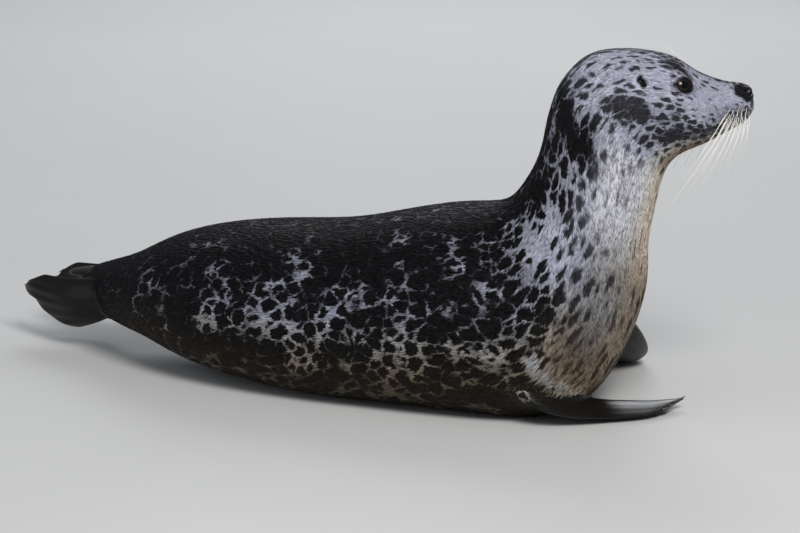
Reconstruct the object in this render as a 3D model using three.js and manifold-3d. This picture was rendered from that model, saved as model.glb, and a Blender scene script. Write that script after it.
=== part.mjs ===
// Harbor seal at life size, lying on its belly with the fore part raised and the head turned to its left.
// Millimetres, +Z up, +X from tail to head, +Y to the animal's left, origin on the floor under the middle.
// The animal is first described straight: s runs along it, w across it and z up. A plan bend and a turn
// of the neck then put every point of it in the lying pose.
import * as THREE from 'three';
import { mergeVertices } from 'three/addons/utils/BufferGeometryUtils.js';
import Module from 'manifold-3d';

const wasm = await Module();
wasm.setup();

// ---- driving dimensions ----------------------------------------------------------------------
const gap = 0.3; // clearance between neighbouring solids
const trunkRings = 2; // rings from one station to the next, up to the shoulder
const foreRings = 2; // and from the shoulder to the nose
const noseRings = 2; // and round the tip of the nose
const ringPoints = 32;

// Cross-sections of the body from tail to nose. top and bottom are (s, z) of the back and belly lines,
// half is the half width, drop lowers the widest level, low and high round the lower and upper halves
// (2 is an ellipse, more is squarer) and lean narrows the upper half.
const station = (top, bottom, half, drop, low, lean) => [...top, ...bottom, half, drop, low, lean];
const stations = {
  tailEnd: station([-515, 112], [-510, 58], 26, 0, 2, 0),
  ankles: station([-474, 129], [-470, 48], 46, 0, 2, 0),
  hips: station([-414, 153], [-420, 37], 72, 0, 2, 0),
  rump: station([-351, 186], [-362, 28], 100, 0.05, 2.1, 0),
  loin: station([-272, 212], [-290, 13], 127, 0.1, 2.3, 0),
  belly: station([-175, 228], [-203, 1], 144, 0.12, 2.4, 0),
  waist: station([-75, 239], [-97, -7], 153, 0.15, 2.5, 0),
  ribs: station([18, 261], [5, -8], 158, 0.15, 2.5, 0),
  withers: station([108, 280], [120, -9], 160, 0.15, 2.5, 0),
  shoulder: station([155, 289], [221, -10], 152, 0.15, 2.4, 0),
  breast: station([176, 306], [290, 28], 141, 0.1, 2.2, 0),
  chest: station([189, 326], [331, 101], 128, 0.05, 2.1, 0),
  neckBase: station([200, 348], [351, 171], 114, 0, 2, 0),
  neck: station([208, 375], [353, 224], 102, 0, 2, 0),
  throat: station([213, 402], [358, 263], 94, 0, 2, 0),
  nape: station([219, 425], [364, 296], 90, 0, 2, 0),
  crown: station([229, 451], [371, 327], 86, 0, 2, 0),
  skull: station([250, 479], [381, 347], 81, 0, 2, 0),
  brain: station([284, 499], [395, 359], 77, 0, 2, 0),
  cheek: station([338, 501], [412, 367], 73, 0, 2, 0),
  eyes: station([382, 491], [431, 376], 64, 0.04, 2, 0.05),
  stop: station([406, 476], [444, 385], 54, 0.1, 2.1, 0.18),
  bridge: station([427, 465], [455, 392], 47, 0.15, 2.2, 0.3),
  pads: station([450, 457], [467, 399], 43, 0.15, 2.3, 0.3),
  snout: station([470, 453], [478, 407], 34, 0.12, 2.3, 0.2),
  noseTip: station([482, 449], [484, 415], 22, 0.05, 2.2, 0.1),
};
const stationNames = Object.keys(stations);
const noseEnd = [486, 0, 432];
const tailBlunt = [-526, 0, 84];

// Soft bulges of the head, pushed out from its middle, the same on both sides
const bulges = [
  { at: [455, 34, 421], reach: 19, out: 5 }, // whisker pad
  { at: [392, 40, 482], reach: 13, out: 2.5 }, // brow over the eye
  { at: [360, 66, 412], reach: 26, out: 3 }, // cheek
];

// The pose: the tail and the chest swing towards the left, and the neck turns over the chest
const swing = { rearFrom: -110, rearRate: 3.6e-4, chestFrom: 60, chestRate: 3.9e-4 };
const neckTurn = { about: 305, degrees: 10.5, low: 190, high: 330, from: 60, full: 160 };

// Flippers and tail: stations along each from root to tip, in the lying pose for the fore flippers and
// in the straight animal for the rest. side points across the blade, half and thick are half sizes.
const blade = (at, side, half, thick) => [...at, ...side, half, thick];
const foreRight = [
  blade([190, -104, 84], [0.3, -0.9, -0.35], 34, 26),
  blade([247, -90, 37], [0.36, -0.93, -0.2], 36, 20),
  blade([299, -47, 14], [0.38, -0.92, -0.07], 37, 12),
  blade([344, -13, 9.5], [0.42, -0.9, -0.05], 33, 8.5),
  blade([379, 17, 9.5], [0.5, -0.86, -0.03], 25, 6.4),
  blade([405, 48, 15], [0.6, -0.8, 0], 11, 4.5),
];
const foreLeft = [
  blade([224, 96, 108], [0.95, 0.1, -0.2], 42, 28),
  blade([243, 140, 85], [0.97, 0.2, 0], 44, 26),
  blade([249, 192, 48], [0.96, 0.28, 0.05], 44, 22),
  blade([237, 237, 16], [0.93, 0.37, 0], 42, 14),
  blade([208, 272, 9.4], [0.85, 0.5, 0], 31, 8.8),
  blade([184, 292, 7.2], [0.8, 0.6, 0], 14, 6),
];
const hind = (mirror, lift, shorten) => [
  blade([-450, mirror * 22, 84 + lift], [0, 0, 1], 32, 28),
  blade([-495, mirror * 36, 70 + lift], [0, 0, 1], 37, 22),
  blade([-535, mirror * 38, 64 + lift], [0, 0, 1], 38, 16),
  blade([-574, mirror * 33, 64 + lift], [0, 0, 1], 35, 12),
  blade([-611 + shorten, mirror * 26, 66 + lift], [0, 0, 1], 30, 8),
];
const tailTab = [
  blade([-440, 0, 116], [0, 1, 0], 27, 12),
  blade([-480, 0, 112], [0, 1, 0], 25, 10),
  blade([-520, 0, 105], [0, 1, 0], 20, 7),
  blade([-550, 0, 99], [0, 1, 0], 11, 5),
];
// How far along the blade each digit reaches, for x from -1 to 1 across it
const share = (x, low, high) => THREE.MathUtils.clamp((x - low) / (high - low), 0, 1);
const foreReach = (longest) => (x) => 1 - 0.16 * ((1 - longest * x) / 2) ** 1.3;
const hindReach = (x) =>
  1 -
  0.17 * share(x, 0.45, 1) ** 2 -
  0.04 * share(x, 0.3, 0) ** 2 -
  0.12 * share(x, 0, -0.08) -
  0.05 * Math.exp(-(((x + 0.08) / 0.05) ** 2)) -
  0.5 * share(x, -0.1, -1) ** 1.4;
const tailReach = (x) => 1 - 0.1 * x * x;
const foreLead = 0.35; // how much thicker a fore flipper is along its first digit
const bladeRings = 12;
const bladePoints = 16;

const digits = [-0.8, -0.4, 0, 0.4, 0.8]; // places of the five claws across a blade
const foreClaw = { length: 17, radius: 2.5, curl: 4, bite: 0.93 };
const hindClaw = { length: 11, radius: 1.8, curl: 2, bite: 0.95 };

const eye = { at: [385.5, 36, 457.3], radius: 17, opening: [391, 50, 461.5], wide: [11, 11, 9.5] };
const earHole = { at: [338, 69, 470.5], size: [4, 7, 5] };
const nosePad = { at: [486, 0, 440], size: [9, 15, 15] };
const nostril = { at: [479, 12, 446], size: [7, 5, 5] };

// ---- curves and the pose ---------------------------------------------------------------------
// Natural cubic spline through equally spaced rows of numbers; its second derivatives come from
// one sweep down and one sweep up the rows.
function spline(rows) {
  const last = rows.length - 1;
  const factor = rows.map(() => 0);
  const bend = rows.map((row) => row.map(() => 0));
  for (let i = 1; i < last; i += 1) {
    const pivot = 4 - factor[i - 1];
    factor[i] = 1 / pivot;
    bend[i] = rows[i].map(
      (v, k) => (6 * (rows[i - 1][k] - 2 * v + rows[i + 1][k]) - bend[i - 1][k]) / pivot,
    );
  }
  for (let i = last - 1; i > 0; i -= 1) {
    bend[i] = bend[i].map((v, k) => v - factor[i] * bend[i + 1][k]);
  }
  return (t) => {
    const i = THREE.MathUtils.clamp(Math.floor(t), 0, last - 1);
    const f = t - i;
    const g = 1 - f;
    return rows[i].map(
      (v, k) =>
        v * g + rows[i + 1][k] * f + ((g ** 3 - g) * bend[i][k] + (f ** 3 - f) * bend[i + 1][k]) / 6,
    );
  };
}

// A point of the straight animal put in the lying pose
function pose(s, w, z) {
  const rear = Math.min(s - swing.rearFrom, 0);
  const fore = Math.max(s - swing.chestFrom, 0);
  const slope = 2 * (swing.rearRate * rear + swing.chestRate * fore);
  const length = Math.hypot(1, slope);
  const x = s - (w * slope) / length;
  const y = swing.rearRate * rear ** 2 + swing.chestRate * fore ** 2 + w / length;
  const turn =
    THREE.MathUtils.degToRad(neckTurn.degrees) *
    THREE.MathUtils.smoothstep(z, neckTurn.low, neckTurn.high) *
    THREE.MathUtils.smoothstep(s, neckTurn.from, neckTurn.full);
  const pivot = new THREE.Vector2(
    neckTurn.about,
    swing.chestRate * (neckTurn.about - swing.chestFrom) ** 2,
  );
  const turned = new THREE.Vector2(x, y).rotateAround(pivot, turn);
  return new THREE.Vector3(turned.x, turned.y, z);
}

// ---- surfaces --------------------------------------------------------------------------------
// Closed surface through rings of points; each end is a point, or null where the ring closes on itself
function closedSurface(rings, first, last) {
  const count = rings[0].length;
  const points = rings.flat();
  const index = [];
  for (let i = 0; i < rings.length - 1; i += 1) {
    for (let j = 0; j < count; j += 1) {
      const a = i * count + j;
      const b = i * count + ((j + 1) % count);
      index.push(a, b, b + count, a, b + count, a + count);
    }
  }
  const ends = [
    [first, 0, 1],
    [last, (rings.length - 1) * count, 0],
  ];
  for (const [end, start, flip] of ends) {
    if (end === null) continue;
    points.push(end);
    for (let j = 0; j < count; j += 1) {
      const a = start + j;
      const b = start + ((j + 1) % count);
      index.push(points.length - 1, flip ? b : a, flip ? a : b);
    }
  }
  const geometry = new THREE.BufferGeometry().setFromPoints(points);
  geometry.setIndex(index);
  return geometry;
}

const power = (v, n) => Math.sign(v) * Math.abs(v) ** n;
const meanPoint = (points) =>
  points.reduce((sum, point) => sum.add(point), new THREE.Vector3()).divideScalar(points.length);

// One ring of the body: a superellipse between the back and belly lines, its bulges pushed out, kept
// above the floor and grown by a margin
const bodyAt = spline(Object.values(stations));
function bodyRing(t, margin) {
  const [topS, topZ, lowS, lowZ, half, drop, low, lean] = bodyAt(t);
  const middle = new THREE.Vector3((topS + lowS) / 2, 0, (topZ + lowZ) / 2);
  const up = new THREE.Vector3((topS - lowS) / 2, 0, (topZ - lowZ) / 2);
  const tall = up.length();
  up.setLength(tall + margin);
  return Array.from({ length: ringPoints }, (_, j) => {
    const angle = (2 * Math.PI * j) / ringPoints;
    const exponent = Math.sin(angle) < 0 ? 2 / low : 1;
    const rise = power(Math.sin(angle), exponent);
    const across = power(Math.cos(angle), exponent) * (1 - lean * Math.max(rise, 0));
    const point = middle.clone().addScaledVector(up, rise - drop * (1 - rise * rise));
    point.y = across * (half + margin);
    const outward = point.clone().sub(middle).normalize();
    for (const { at, reach, out } of bulges) {
      const away = Math.hypot(point.x - at[0], Math.abs(point.y) - at[1], point.z - at[2]) / reach;
      point.addScaledVector(outward, out * Math.exp(-away * away));
    }
    return pose(point.x, point.y, Math.max(point.z, 0));
  });
}

// Rings between the last one and the tip of the nose, on a quarter ellipse
function domeRings(ring, tip) {
  const middle = meanPoint(ring);
  const rise = tip.clone().sub(middle);
  return Array.from({ length: noseRings }, (_, i) => {
    const angle = (Math.PI / 2) * ((i + 1) / (noseRings + 1));
    return ring.map((point) =>
      point.clone().lerp(middle, 1 - Math.cos(angle)).addScaledVector(rise, Math.sin(angle)),
    );
  });
}

function bodySurface(margin) {
  const steps = stationNames.flatMap((_, i) => {
    const count = i < stationNames.indexOf('shoulder') ? trunkRings : foreRings;
    return Array.from({ length: i < stationNames.length - 1 ? count : 1 }, (__, k) => i + k / count);
  });
  const rings = steps.map((t) => bodyRing(t, margin));
  const [nose, tail] = [noseEnd, tailBlunt].map(([s, w, z]) => pose(s + Math.sign(s) * margin, w, z));
  return closedSurface([...rings, ...domeRings(rings.at(-1), nose)], tail, nose);
}

// A blade is its path, how far each digit reaches, how much thicker it is at its leading edge, and
// whether its stations lie in the straight animal
function bladeOf(rows, reach, lead, straight) {
  return { at: spline(rows), spans: rows.length - 1, reach, lead, straight };
}

// A point of a blade: v runs from root to tip, and angle goes round it. The digits end at their own
// reach, and the thickness closes round the tip.
const tipFrom = 0.8; // share of the length where the tip begins to close
const tipWidth = 0.35; // share of the half width left at the very end
const edgeRoundness = 0.8;
const stepAlong = 0.02; // for the direction of the path
const stretch = 0.006; // lengthening of a grown blade for each millimetre of its margin
function bladePoint(path, v, angle, margin = 0) {
  const across = Math.cos(angle);
  const t = v * path.reach(across) * path.spans * (1 + stretch * margin);
  const [x, y, z, sideX, sideY, sideZ, half, thick] = path.at(t);
  const ahead = new THREE.Vector3(...path.at(t + stepAlong)).sub(
    new THREE.Vector3(...path.at(t - stepAlong)),
  );
  const side = new THREE.Vector3(sideX, sideY, sideZ).normalize();
  const up = new THREE.Vector3().crossVectors(ahead, side).normalize();
  const close = Math.sqrt(Math.max(0, 1 - Math.max(0, (v - tipFrom) / (1 - tipFrom)) ** 2));
  const depth = (thick + margin) * (1 + path.lead * across);
  const point = new THREE.Vector3(x, y, z)
    .addScaledVector(side, (half * (tipWidth + (1 - tipWidth) * close) + margin) * across)
    .addScaledVector(up, depth * power(Math.sin(angle), edgeRoundness) * close);
  point.z = Math.max(point.z, 0);
  return path.straight ? pose(point.x, point.y, point.z) : point;
}

const rootSpacing = 0.9; // rings lie a little closer together near the root than at the tip
function bladeSurface(path, margin = 0) {
  const rings = Array.from({ length: bladeRings }, (_, i) =>
    Array.from({ length: bladePoints }, (__, j) => {
      const angle = (2 * Math.PI * j) / bladePoints;
      return bladePoint(path, (i / (bladeRings - 1)) ** rootSpacing, angle, margin);
    }),
  );
  return closedSurface(rings, meanPoint(rings[0]), null);
}

// A claw: round sections on a curve that leaves the tip of its digit and curls down
const clawSides = 5;
const clawRings = 3;
const clawTaper = 0.75;
const tipClearance = 0.5; // lowest height of a claw's point
function clawSurface(root, ahead, down, { length, radius, curl }) {
  const across = new THREE.Vector3().crossVectors(ahead, down).normalize();
  const rings = Array.from({ length: clawRings }, (_, i) => {
    const v = i / clawRings;
    const middle = root
      .clone()
      .addScaledVector(ahead, length * v)
      .addScaledVector(down, curl * v * v);
    const r = radius * (1 - clawTaper * v);
    return Array.from({ length: clawSides }, (__, j) => {
      const angle = (2 * Math.PI * j) / clawSides;
      const point = middle
        .clone()
        .addScaledVector(across, r * Math.cos(angle))
        .addScaledVector(down, r * Math.sin(angle));
      point.z = Math.max(point.z, 0);
      return point;
    });
  });
  const tip = root.clone().addScaledVector(ahead, length).addScaledVector(down, curl);
  tip.z = Math.max(tip.z, tipClearance);
  return closedSurface(rings, root.clone().addScaledVector(ahead, -radius), tip);
}

// ---- solids ----------------------------------------------------------------------------------
// A solid from any closed geometry, turned the right way out
function solidOf(geometry) {
  geometry.deleteAttribute('normal');
  geometry.deleteAttribute('uv');
  const merged = mergeVertices(geometry, 1e-3);
  const triangles = [];
  for (let i = 0; i < merged.index.count; i += 3) {
    const corners = [0, 1, 2].map((k) => merged.index.getX(i + k));
    if (new Set(corners).size === 3) triangles.push(corners);
  }
  const joined = (order) =>
    new wasm.Manifold(
      new wasm.Mesh({
        numProp: 3,
        vertProperties: new Float32Array(merged.attributes.position.array),
        triVerts: new Uint32Array(triangles.flatMap((corners) => order.map((k) => corners[k]))),
      }),
    );
  const solid = joined([0, 1, 2]);
  return solid.volume() < 0 ? joined([2, 1, 0]) : solid;
}

function geometryOf(solid) {
  const mesh = solid.getMesh();
  const geometry = new THREE.BufferGeometry();
  geometry.setAttribute('position', new THREE.BufferAttribute(new Float32Array(mesh.vertProperties), 3));
  geometry.setIndex([...mesh.triVerts]);
  geometry.computeVertexNormals();
  return geometry;
}

// A stretched ball at a place of the straight animal, on either side of it
const ballRings = 0.7; // rings of a ball for each of its segments
function ball([s, w, z], size, segments) {
  const geometry = new THREE.SphereGeometry(1, segments, Math.round(segments * ballRings));
  const at = pose(s, w, z);
  const heading = pose(s + 1, w, z).sub(at);
  geometry.scale(...size);
  geometry.rotateZ(Math.atan2(heading.y, heading.x));
  geometry.translate(at.x, at.y, at.z);
  return solidOf(geometry);
}

// The space on one side of a station, half a gap short of it
const slabSize = 3000;
function halfSpace(name, towardsNose) {
  const [topS, topZ, lowS, lowZ] = stations[name];
  const top = pose(topS, 0, topZ);
  const low = pose(lowS, 0, lowZ);
  const centre = top.clone().add(low).divideScalar(2);
  const side = pose((topS + lowS) / 2, 1, (topZ + lowZ) / 2).sub(
    pose((topS + lowS) / 2, 0, (topZ + lowZ) / 2),
  );
  const up = top.clone().sub(low).normalize();
  const normal = new THREE.Vector3().crossVectors(side, up).normalize();
  const direction = towardsNose ? 1 : -1;
  const geometry = new THREE.BoxGeometry(slabSize, slabSize, slabSize);
  geometry.applyQuaternion(
    new THREE.Quaternion().setFromUnitVectors(new THREE.Vector3(0, 0, 1), normal),
  );
  const middle = centre.addScaledVector(normal, direction * (slabSize / 2 + gap / 2));
  geometry.translate(middle.x, middle.y, middle.z);
  return solidOf(geometry);
}

// ---- materials -------------------------------------------------------------------------------
const material = (color, roughness) => new THREE.MeshStandardMaterial({ color, roughness, metalness: 0 });
const coat = material(0x4a4a52, 0.6);
const flipperSkin = material(0x26262a, 0.5);
const wet = material(0x0c0a0a, 0.1);
const horn = material(0x1d1a18, 0.4);

// ---- assembly --------------------------------------------------------------------------------
const seal = new THREE.Group();
const wholeBody = solidOf(bodySurface(0));
const grownBody = solidOf(bodySurface(gap));

function addNode(name, solid, look) {
  const mesh = new THREE.Mesh(geometryOf(solid), look);
  mesh.name = name;
  seal.add(mesh);
}

const foreBlades = {
  right: bladeOf(foreRight, foreReach(-1), -foreLead, false),
  left: bladeOf(foreLeft, foreReach(1), foreLead, false),
};
const sides = [
  { name: 'right', mirror: -1, fore: foreBlades.right, lift: 0, shorten: 0 },
  { name: 'left', mirror: 1, fore: foreBlades.left, lift: 5, shorten: 12 },
];
const hindBlade = ({ mirror, lift, shorten }) => bladeOf(hind(mirror, lift, shorten), hindReach, 0, true);

// The main piece of a cut solid
const mainPiece = (solid) => solid.decompose().sort((a, b) => b.volume() - a.volume())[0];

// A blade with its five claws, which start where they leave the tips of the digits
const clawRoot = 0.1; // how far back along the blade its direction at a claw is taken from
function clawedBlade(name, path, claw) {
  const grown = solidOf(bladeSurface(path, gap));
  digits.forEach((x, number) => {
    const turn = Math.acos(x);
    const [root, behind] = [claw.bite, claw.bite - clawRoot].map((v) =>
      bladePoint(path, v, turn).lerp(bladePoint(path, v, -turn), 0.5),
    );
    const down = bladePoint(path, claw.bite, -turn).sub(root).normalize();
    const ahead = root.clone().sub(behind).normalize();
    const solid = solidOf(clawSurface(root, ahead, down, claw)).subtract(grown);
    addNode(`claw_${name}_${number + 1}`, mainPiece(solid), horn);
  });
  addNode(name, mainPiece(solidOf(bladeSurface(path)).subtract(grownBody)), flipperSkin);
}

let head = wholeBody.intersect(halfSpace('nape', true));
for (const { name, mirror } of sides) {
  const place = ([s, w, z]) => [s, mirror * w, z];
  const grown = eye.radius + gap;
  head = head
    .subtract(ball(place(eye.at), [grown, grown, grown], 14))
    .subtract(ball(place(eye.opening), eye.wide, 10))
    .subtract(ball(place(earHole.at), earHole.size, 8))
    .subtract(ball(place(nostril.at), nostril.size, 8));
  addNode(`eye_${name}`, ball(place(eye.at), [eye.radius, eye.radius, eye.radius], 14), wet);
}
const noseSpace = ball(nosePad.at, nosePad.size, 10);
addNode('nose', head.intersect(noseSpace), wet);
addNode('head', head.subtract(ball(nosePad.at, nosePad.size.map((v) => v + gap), 10)), coat);

const divisions = [
  ['neck', 'chest', 'nape'],
  ['shoulders', 'withers', 'chest'],
  ['trunk', 'loin', 'withers'],
];
for (const [name, from, to] of divisions) {
  addNode(name, wholeBody.intersect(halfSpace(from, true)).intersect(halfSpace(to, false)), coat);
}
addNode('rump', wholeBody.intersect(halfSpace('loin', false)), coat);

let taken = grownBody;
for (const side of sides) {
  const hindPath = hindBlade(side);
  clawedBlade(`fore_flipper_${side.name}`, side.fore, foreClaw);
  clawedBlade(`hind_flipper_${side.name}`, hindPath, hindClaw);
  taken = taken.add(solidOf(bladeSurface(hindPath, gap)));
}
const tailPath = bladeOf(tailTab, tailReach, 0, true);
addNode('tail', mainPiece(solidOf(bladeSurface(tailPath)).subtract(taken)), coat);

const box = new THREE.Box3().setFromObject(seal);
const centre = box.getCenter(new THREE.Vector3());
seal.position.set(-centre.x, -centre.y, -box.min.z);

export default seal;
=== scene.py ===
import math

import bpy
import numpy as np
from mathutils import Matrix, Vector


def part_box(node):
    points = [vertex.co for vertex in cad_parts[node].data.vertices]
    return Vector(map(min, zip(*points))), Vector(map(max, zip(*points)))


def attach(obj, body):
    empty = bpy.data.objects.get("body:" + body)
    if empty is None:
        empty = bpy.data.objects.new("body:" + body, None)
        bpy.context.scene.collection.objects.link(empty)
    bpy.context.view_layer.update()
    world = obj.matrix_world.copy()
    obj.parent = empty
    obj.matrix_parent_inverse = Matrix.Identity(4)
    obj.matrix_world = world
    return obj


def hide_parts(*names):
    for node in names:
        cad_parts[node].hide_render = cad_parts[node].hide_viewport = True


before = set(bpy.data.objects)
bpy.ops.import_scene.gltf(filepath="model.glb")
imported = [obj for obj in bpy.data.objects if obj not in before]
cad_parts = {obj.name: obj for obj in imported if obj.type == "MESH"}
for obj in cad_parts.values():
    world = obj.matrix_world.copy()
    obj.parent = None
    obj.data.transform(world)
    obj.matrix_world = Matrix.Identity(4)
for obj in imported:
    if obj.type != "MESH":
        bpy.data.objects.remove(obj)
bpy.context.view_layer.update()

mm = 0.001
random = np.random.default_rng(20)


# The straight animal: s runs from tail to nose, w to its left and z up, all in millimetres.
# Sections from tail to nose: back line (s, z), belly line (s, z), half width, drop of the widest
# level, squareness below and narrowing above
sections = {
    "tailEnd": (-515, 112, -510, 58, 26, 0, 2, 0),
    "ankles": (-474, 129, -470, 48, 46, 0, 2, 0),
    "hips": (-414, 153, -420, 37, 72, 0, 2, 0),
    "rump": (-351, 186, -362, 28, 100, 0.05, 2.1, 0),
    "loin": (-272, 212, -290, 13, 127, 0.1, 2.3, 0),
    "belly": (-175, 228, -203, 1, 144, 0.12, 2.4, 0),
    "waist": (-75, 239, -97, -7, 153, 0.15, 2.5, 0),
    "ribs": (18, 261, 5, -8, 158, 0.15, 2.5, 0),
    "withers": (108, 280, 120, -9, 160, 0.15, 2.5, 0),
    "shoulder": (155, 289, 221, -10, 152, 0.15, 2.4, 0),
    "breast": (176, 306, 290, 28, 141, 0.1, 2.2, 0),
    "chest": (189, 326, 331, 101, 128, 0.05, 2.1, 0),
    "neckBase": (200, 348, 351, 171, 114, 0, 2, 0),
    "neck": (208, 375, 353, 224, 102, 0, 2, 0),
    "throat": (213, 402, 358, 263, 94, 0, 2, 0),
    "nape": (219, 425, 364, 296, 90, 0, 2, 0),
    "crown": (229, 451, 371, 327, 86, 0, 2, 0),
    "skull": (250, 479, 381, 347, 81, 0, 2, 0),
    "brain": (284, 499, 395, 359, 77, 0, 2, 0),
    "cheek": (338, 501, 412, 367, 73, 0, 2, 0),
    "eyes": (382, 491, 431, 376, 64, 0.04, 2, 0.05),
    "stop": (406, 476, 444, 385, 54, 0.1, 2.1, 0.18),
    "bridge": (427, 465, 455, 392, 47, 0.15, 2.2, 0.3),
    "pads": (450, 457, 467, 399, 43, 0.15, 2.3, 0.3),
    "snout": (470, 453, 478, 407, 34, 0.12, 2.3, 0.2),
    "noseTip": (482, 449, 484, 415, 22, 0.05, 2.2, 0.1),
}
noseEnd = (486, 0, 432)
tailBlunt = (-526, 0, 84)
bulges = [
    {"at": (455, 34, 421), "reach": 19, "out": 5},  # whisker pad
    {"at": (392, 40, 482), "reach": 13, "out": 2.5},  # brow
    {"at": (360, 66, 412), "reach": 26, "out": 3},  # cheek
]
swing = {"rearFrom": -110, "rearRate": 3.6e-4, "chestFrom": 60, "chestRate": 3.9e-4}
neckTurn = {"about": 305, "degrees": 10.5, "low": 190, "high": 330, "from": 60, "full": 160}
sectionCount = len(sections)


def smooth(x, low, high):
    # 0 below low, 1 above high and an S curve between them
    f = np.clip((x - low) / (high - low), 0, 1)
    return f * f * (3 - 2 * f)


def bump(x, centre, width):
    # bell curve of height 1
    return np.exp(-(((x - centre) / width) ** 2))


def unit(v):
    return v / np.maximum(np.linalg.norm(v, axis=-1, keepdims=True), 1e-12)


def signedPower(v, n):
    return np.sign(v) * np.abs(v) ** n


def spline(rows):
    # natural cubic through equally spaced rows; the bends solve the usual three-term equations
    rows = np.asarray(rows, float)
    count = len(rows)
    equations = np.eye(count)
    right = np.zeros_like(rows)
    for i in range(1, count - 1):
        equations[i, i - 1 : i + 2] = 1, 4, 1
        right[i] = 6 * (rows[i - 1] - 2 * rows[i] + rows[i + 1])
    bend = np.linalg.solve(equations, right)

    def at(t):
        t = np.asarray(t, float)
        i = np.clip(np.floor(t).astype(int), 0, count - 2)
        f = (t - i)[..., None]
        g = 1 - f
        wave = (g**3 - g) * bend[i] + (f**3 - f) * bend[i + 1]
        return rows[i] * g + rows[i + 1] * f + wave / 6

    return at


sectionAt = spline(list(sections.values()))


def pose(points):
    # plan curve y = rate * distance^2 behind the loin and ahead of the chest, w laid off square to
    # it, then a turn of the neck about an upright axis that grows with height
    s, w, z = points[..., 0], points[..., 1], points[..., 2]
    rear = np.minimum(s - swing["rearFrom"], 0)
    fore = np.maximum(s - swing["chestFrom"], 0)
    slope = 2 * (swing["rearRate"] * rear + swing["chestRate"] * fore)
    length = np.hypot(1, slope)
    x = s - w * slope / length
    y = swing["rearRate"] * rear**2 + swing["chestRate"] * fore**2 + w / length
    share = smooth(z, neckTurn["low"], neckTurn["high"]) * smooth(s, neckTurn["from"], neckTurn["full"])
    turn = math.radians(neckTurn["degrees"]) * share
    pivotY = swing["chestRate"] * (neckTurn["about"] - swing["chestFrom"]) ** 2
    dx, dy = x - neckTurn["about"], y - pivotY
    x = neckTurn["about"] + dx * np.cos(turn) - dy * np.sin(turn)
    y = pivotY + dx * np.sin(turn) + dy * np.cos(turn)
    return np.stack([x, y, z], -1)


# wide is half the length and height of the opening between the lids
eyeball = {"at": (385.5, 36, 457.3), "radius": 16.7, "gaze": (0.48, 0.84, 0.25), "wide": (10.2, 8.9)}
rightEye = sum(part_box("eye_right"), Vector()) / 2
frameShift = np.array(rightEye) / mm - pose(np.array(eyeball["at"]) * (1, -1, 1))
frameShift[2] = 0


def place(points):
    # lying pose in the frame's own metres
    return (pose(points) + frameShift) * mm


def straighten(points):
    # the pose undone: the error of a first guess is laid off along and across the animal again
    target = np.asarray(points, float) / mm - frameShift
    guess = target.copy()
    guess[:, 1] -= pose(guess * (1, 0, 1))[:, 1]
    for _ in range(25):
        here = pose(guess)
        along = unit((pose(guess + (0.5, 0, 0)) - here)[:, :2])
        miss = (target - here)[:, :2]
        guess[:, 0] += (miss * along).sum(1) * 0.8
        guess[:, 1] += (along[:, 0] * miss[:, 1] - along[:, 1] * miss[:, 0]) * 0.8
    return guess


def meshOf(name, points, faceSets, corners=None):
    # faceSets are arrays of faces, each array with its own number of corners
    mesh = bpy.data.meshes.new(name)
    loops = np.concatenate([faces.ravel() for faces in faceSets]).astype(np.int32)
    sizes = np.concatenate([np.full(len(faces), faces.shape[1]) for faces in faceSets])
    starts = np.concatenate([[0], np.cumsum(sizes)[:-1]]).astype(np.int32)
    mesh.vertices.add(len(points))
    mesh.vertices.foreach_set("co", np.asarray(points, np.float32).ravel())
    mesh.loops.add(len(loops))
    mesh.loops.foreach_set("vertex_index", loops)
    mesh.polygons.add(len(sizes))
    mesh.polygons.foreach_set("loop_start", starts)
    mesh.update(calc_edges=True)
    for key, values in (corners or {}).items():
        setValues(mesh, key, values, "CORNER")
    mesh.shade_smooth()
    return mesh


def setValues(mesh, key, values, domain="POINT"):
    values = np.asarray(values, np.float32)
    if values.ndim == 1:
        layer = mesh.attributes.new(key, "FLOAT", domain)
        layer.data.foreach_set("value", values)
    elif values.shape[1] == 2:
        layer = mesh.uv_layers.new(name=key)
        layer.data.foreach_set("uv", values.ravel())
    else:
        layer = mesh.attributes.new(key, "FLOAT_VECTOR", domain)
        layer.data.foreach_set("vector", values.ravel())


def getValues(mesh, key, width):
    values = np.zeros(len(mesh.loops) * width, np.float32)
    if width == 2:
        mesh.uv_layers[key].data.foreach_get("uv", values)
    else:
        mesh.attributes[key].data.foreach_get("vector", values)
    return values.reshape(-1, width)


def link(name, mesh, material=None):
    thing = bpy.data.objects.new(name, mesh)
    bpy.context.scene.collection.objects.link(thing)
    if material:
        mesh.materials.append(material)
    return thing


def lidded(grid, first, last):
    # points and faces of a closed surface through rings (rings, around, 3), with a point or None
    # at each end, and the place of each corner in a grid that has its first column again at the end
    rings, around = grid.shape[:2]
    i, j = np.meshgrid(np.arange(rings - 1), np.arange(around), indexing="ij")
    k = (j + 1) % around
    quads = np.stack([i * around + j, i * around + k, (i + 1) * around + k, (i + 1) * around + j], -1)
    wide = around + 1
    spots = np.stack([i * wide + j, i * wide + j + 1, (i + 1) * wide + j + 1, (i + 1) * wide + j], -1)
    points = [grid.reshape(-1, 3)]
    faces = [quads.reshape(-1, 4)]
    places = [spots.reshape(-1)]
    total = rings * around
    j = np.arange(around)
    for end, ring, flip in ((first, 0, True), (last, rings - 1, False)):
        if end is None:
            continue
        points.append(np.asarray(end, float).reshape(1, 3))
        a, b = ring * around + j, ring * around + (j + 1) % around
        c, d = ring * wide + j, ring * wide + j + 1
        if flip:
            a, b, c, d = b, a, d, c
        faces.append(np.stack([a, b, np.full(around, total)], -1))
        places.append(np.stack([c, d, c], -1).reshape(-1))
        total += 1
    return np.concatenate(points), faces, np.concatenate(places)


def wrapped(values):
    # a grid of values with its first column again at the end
    return np.concatenate([values, values[:, :1]], 1)


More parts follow.
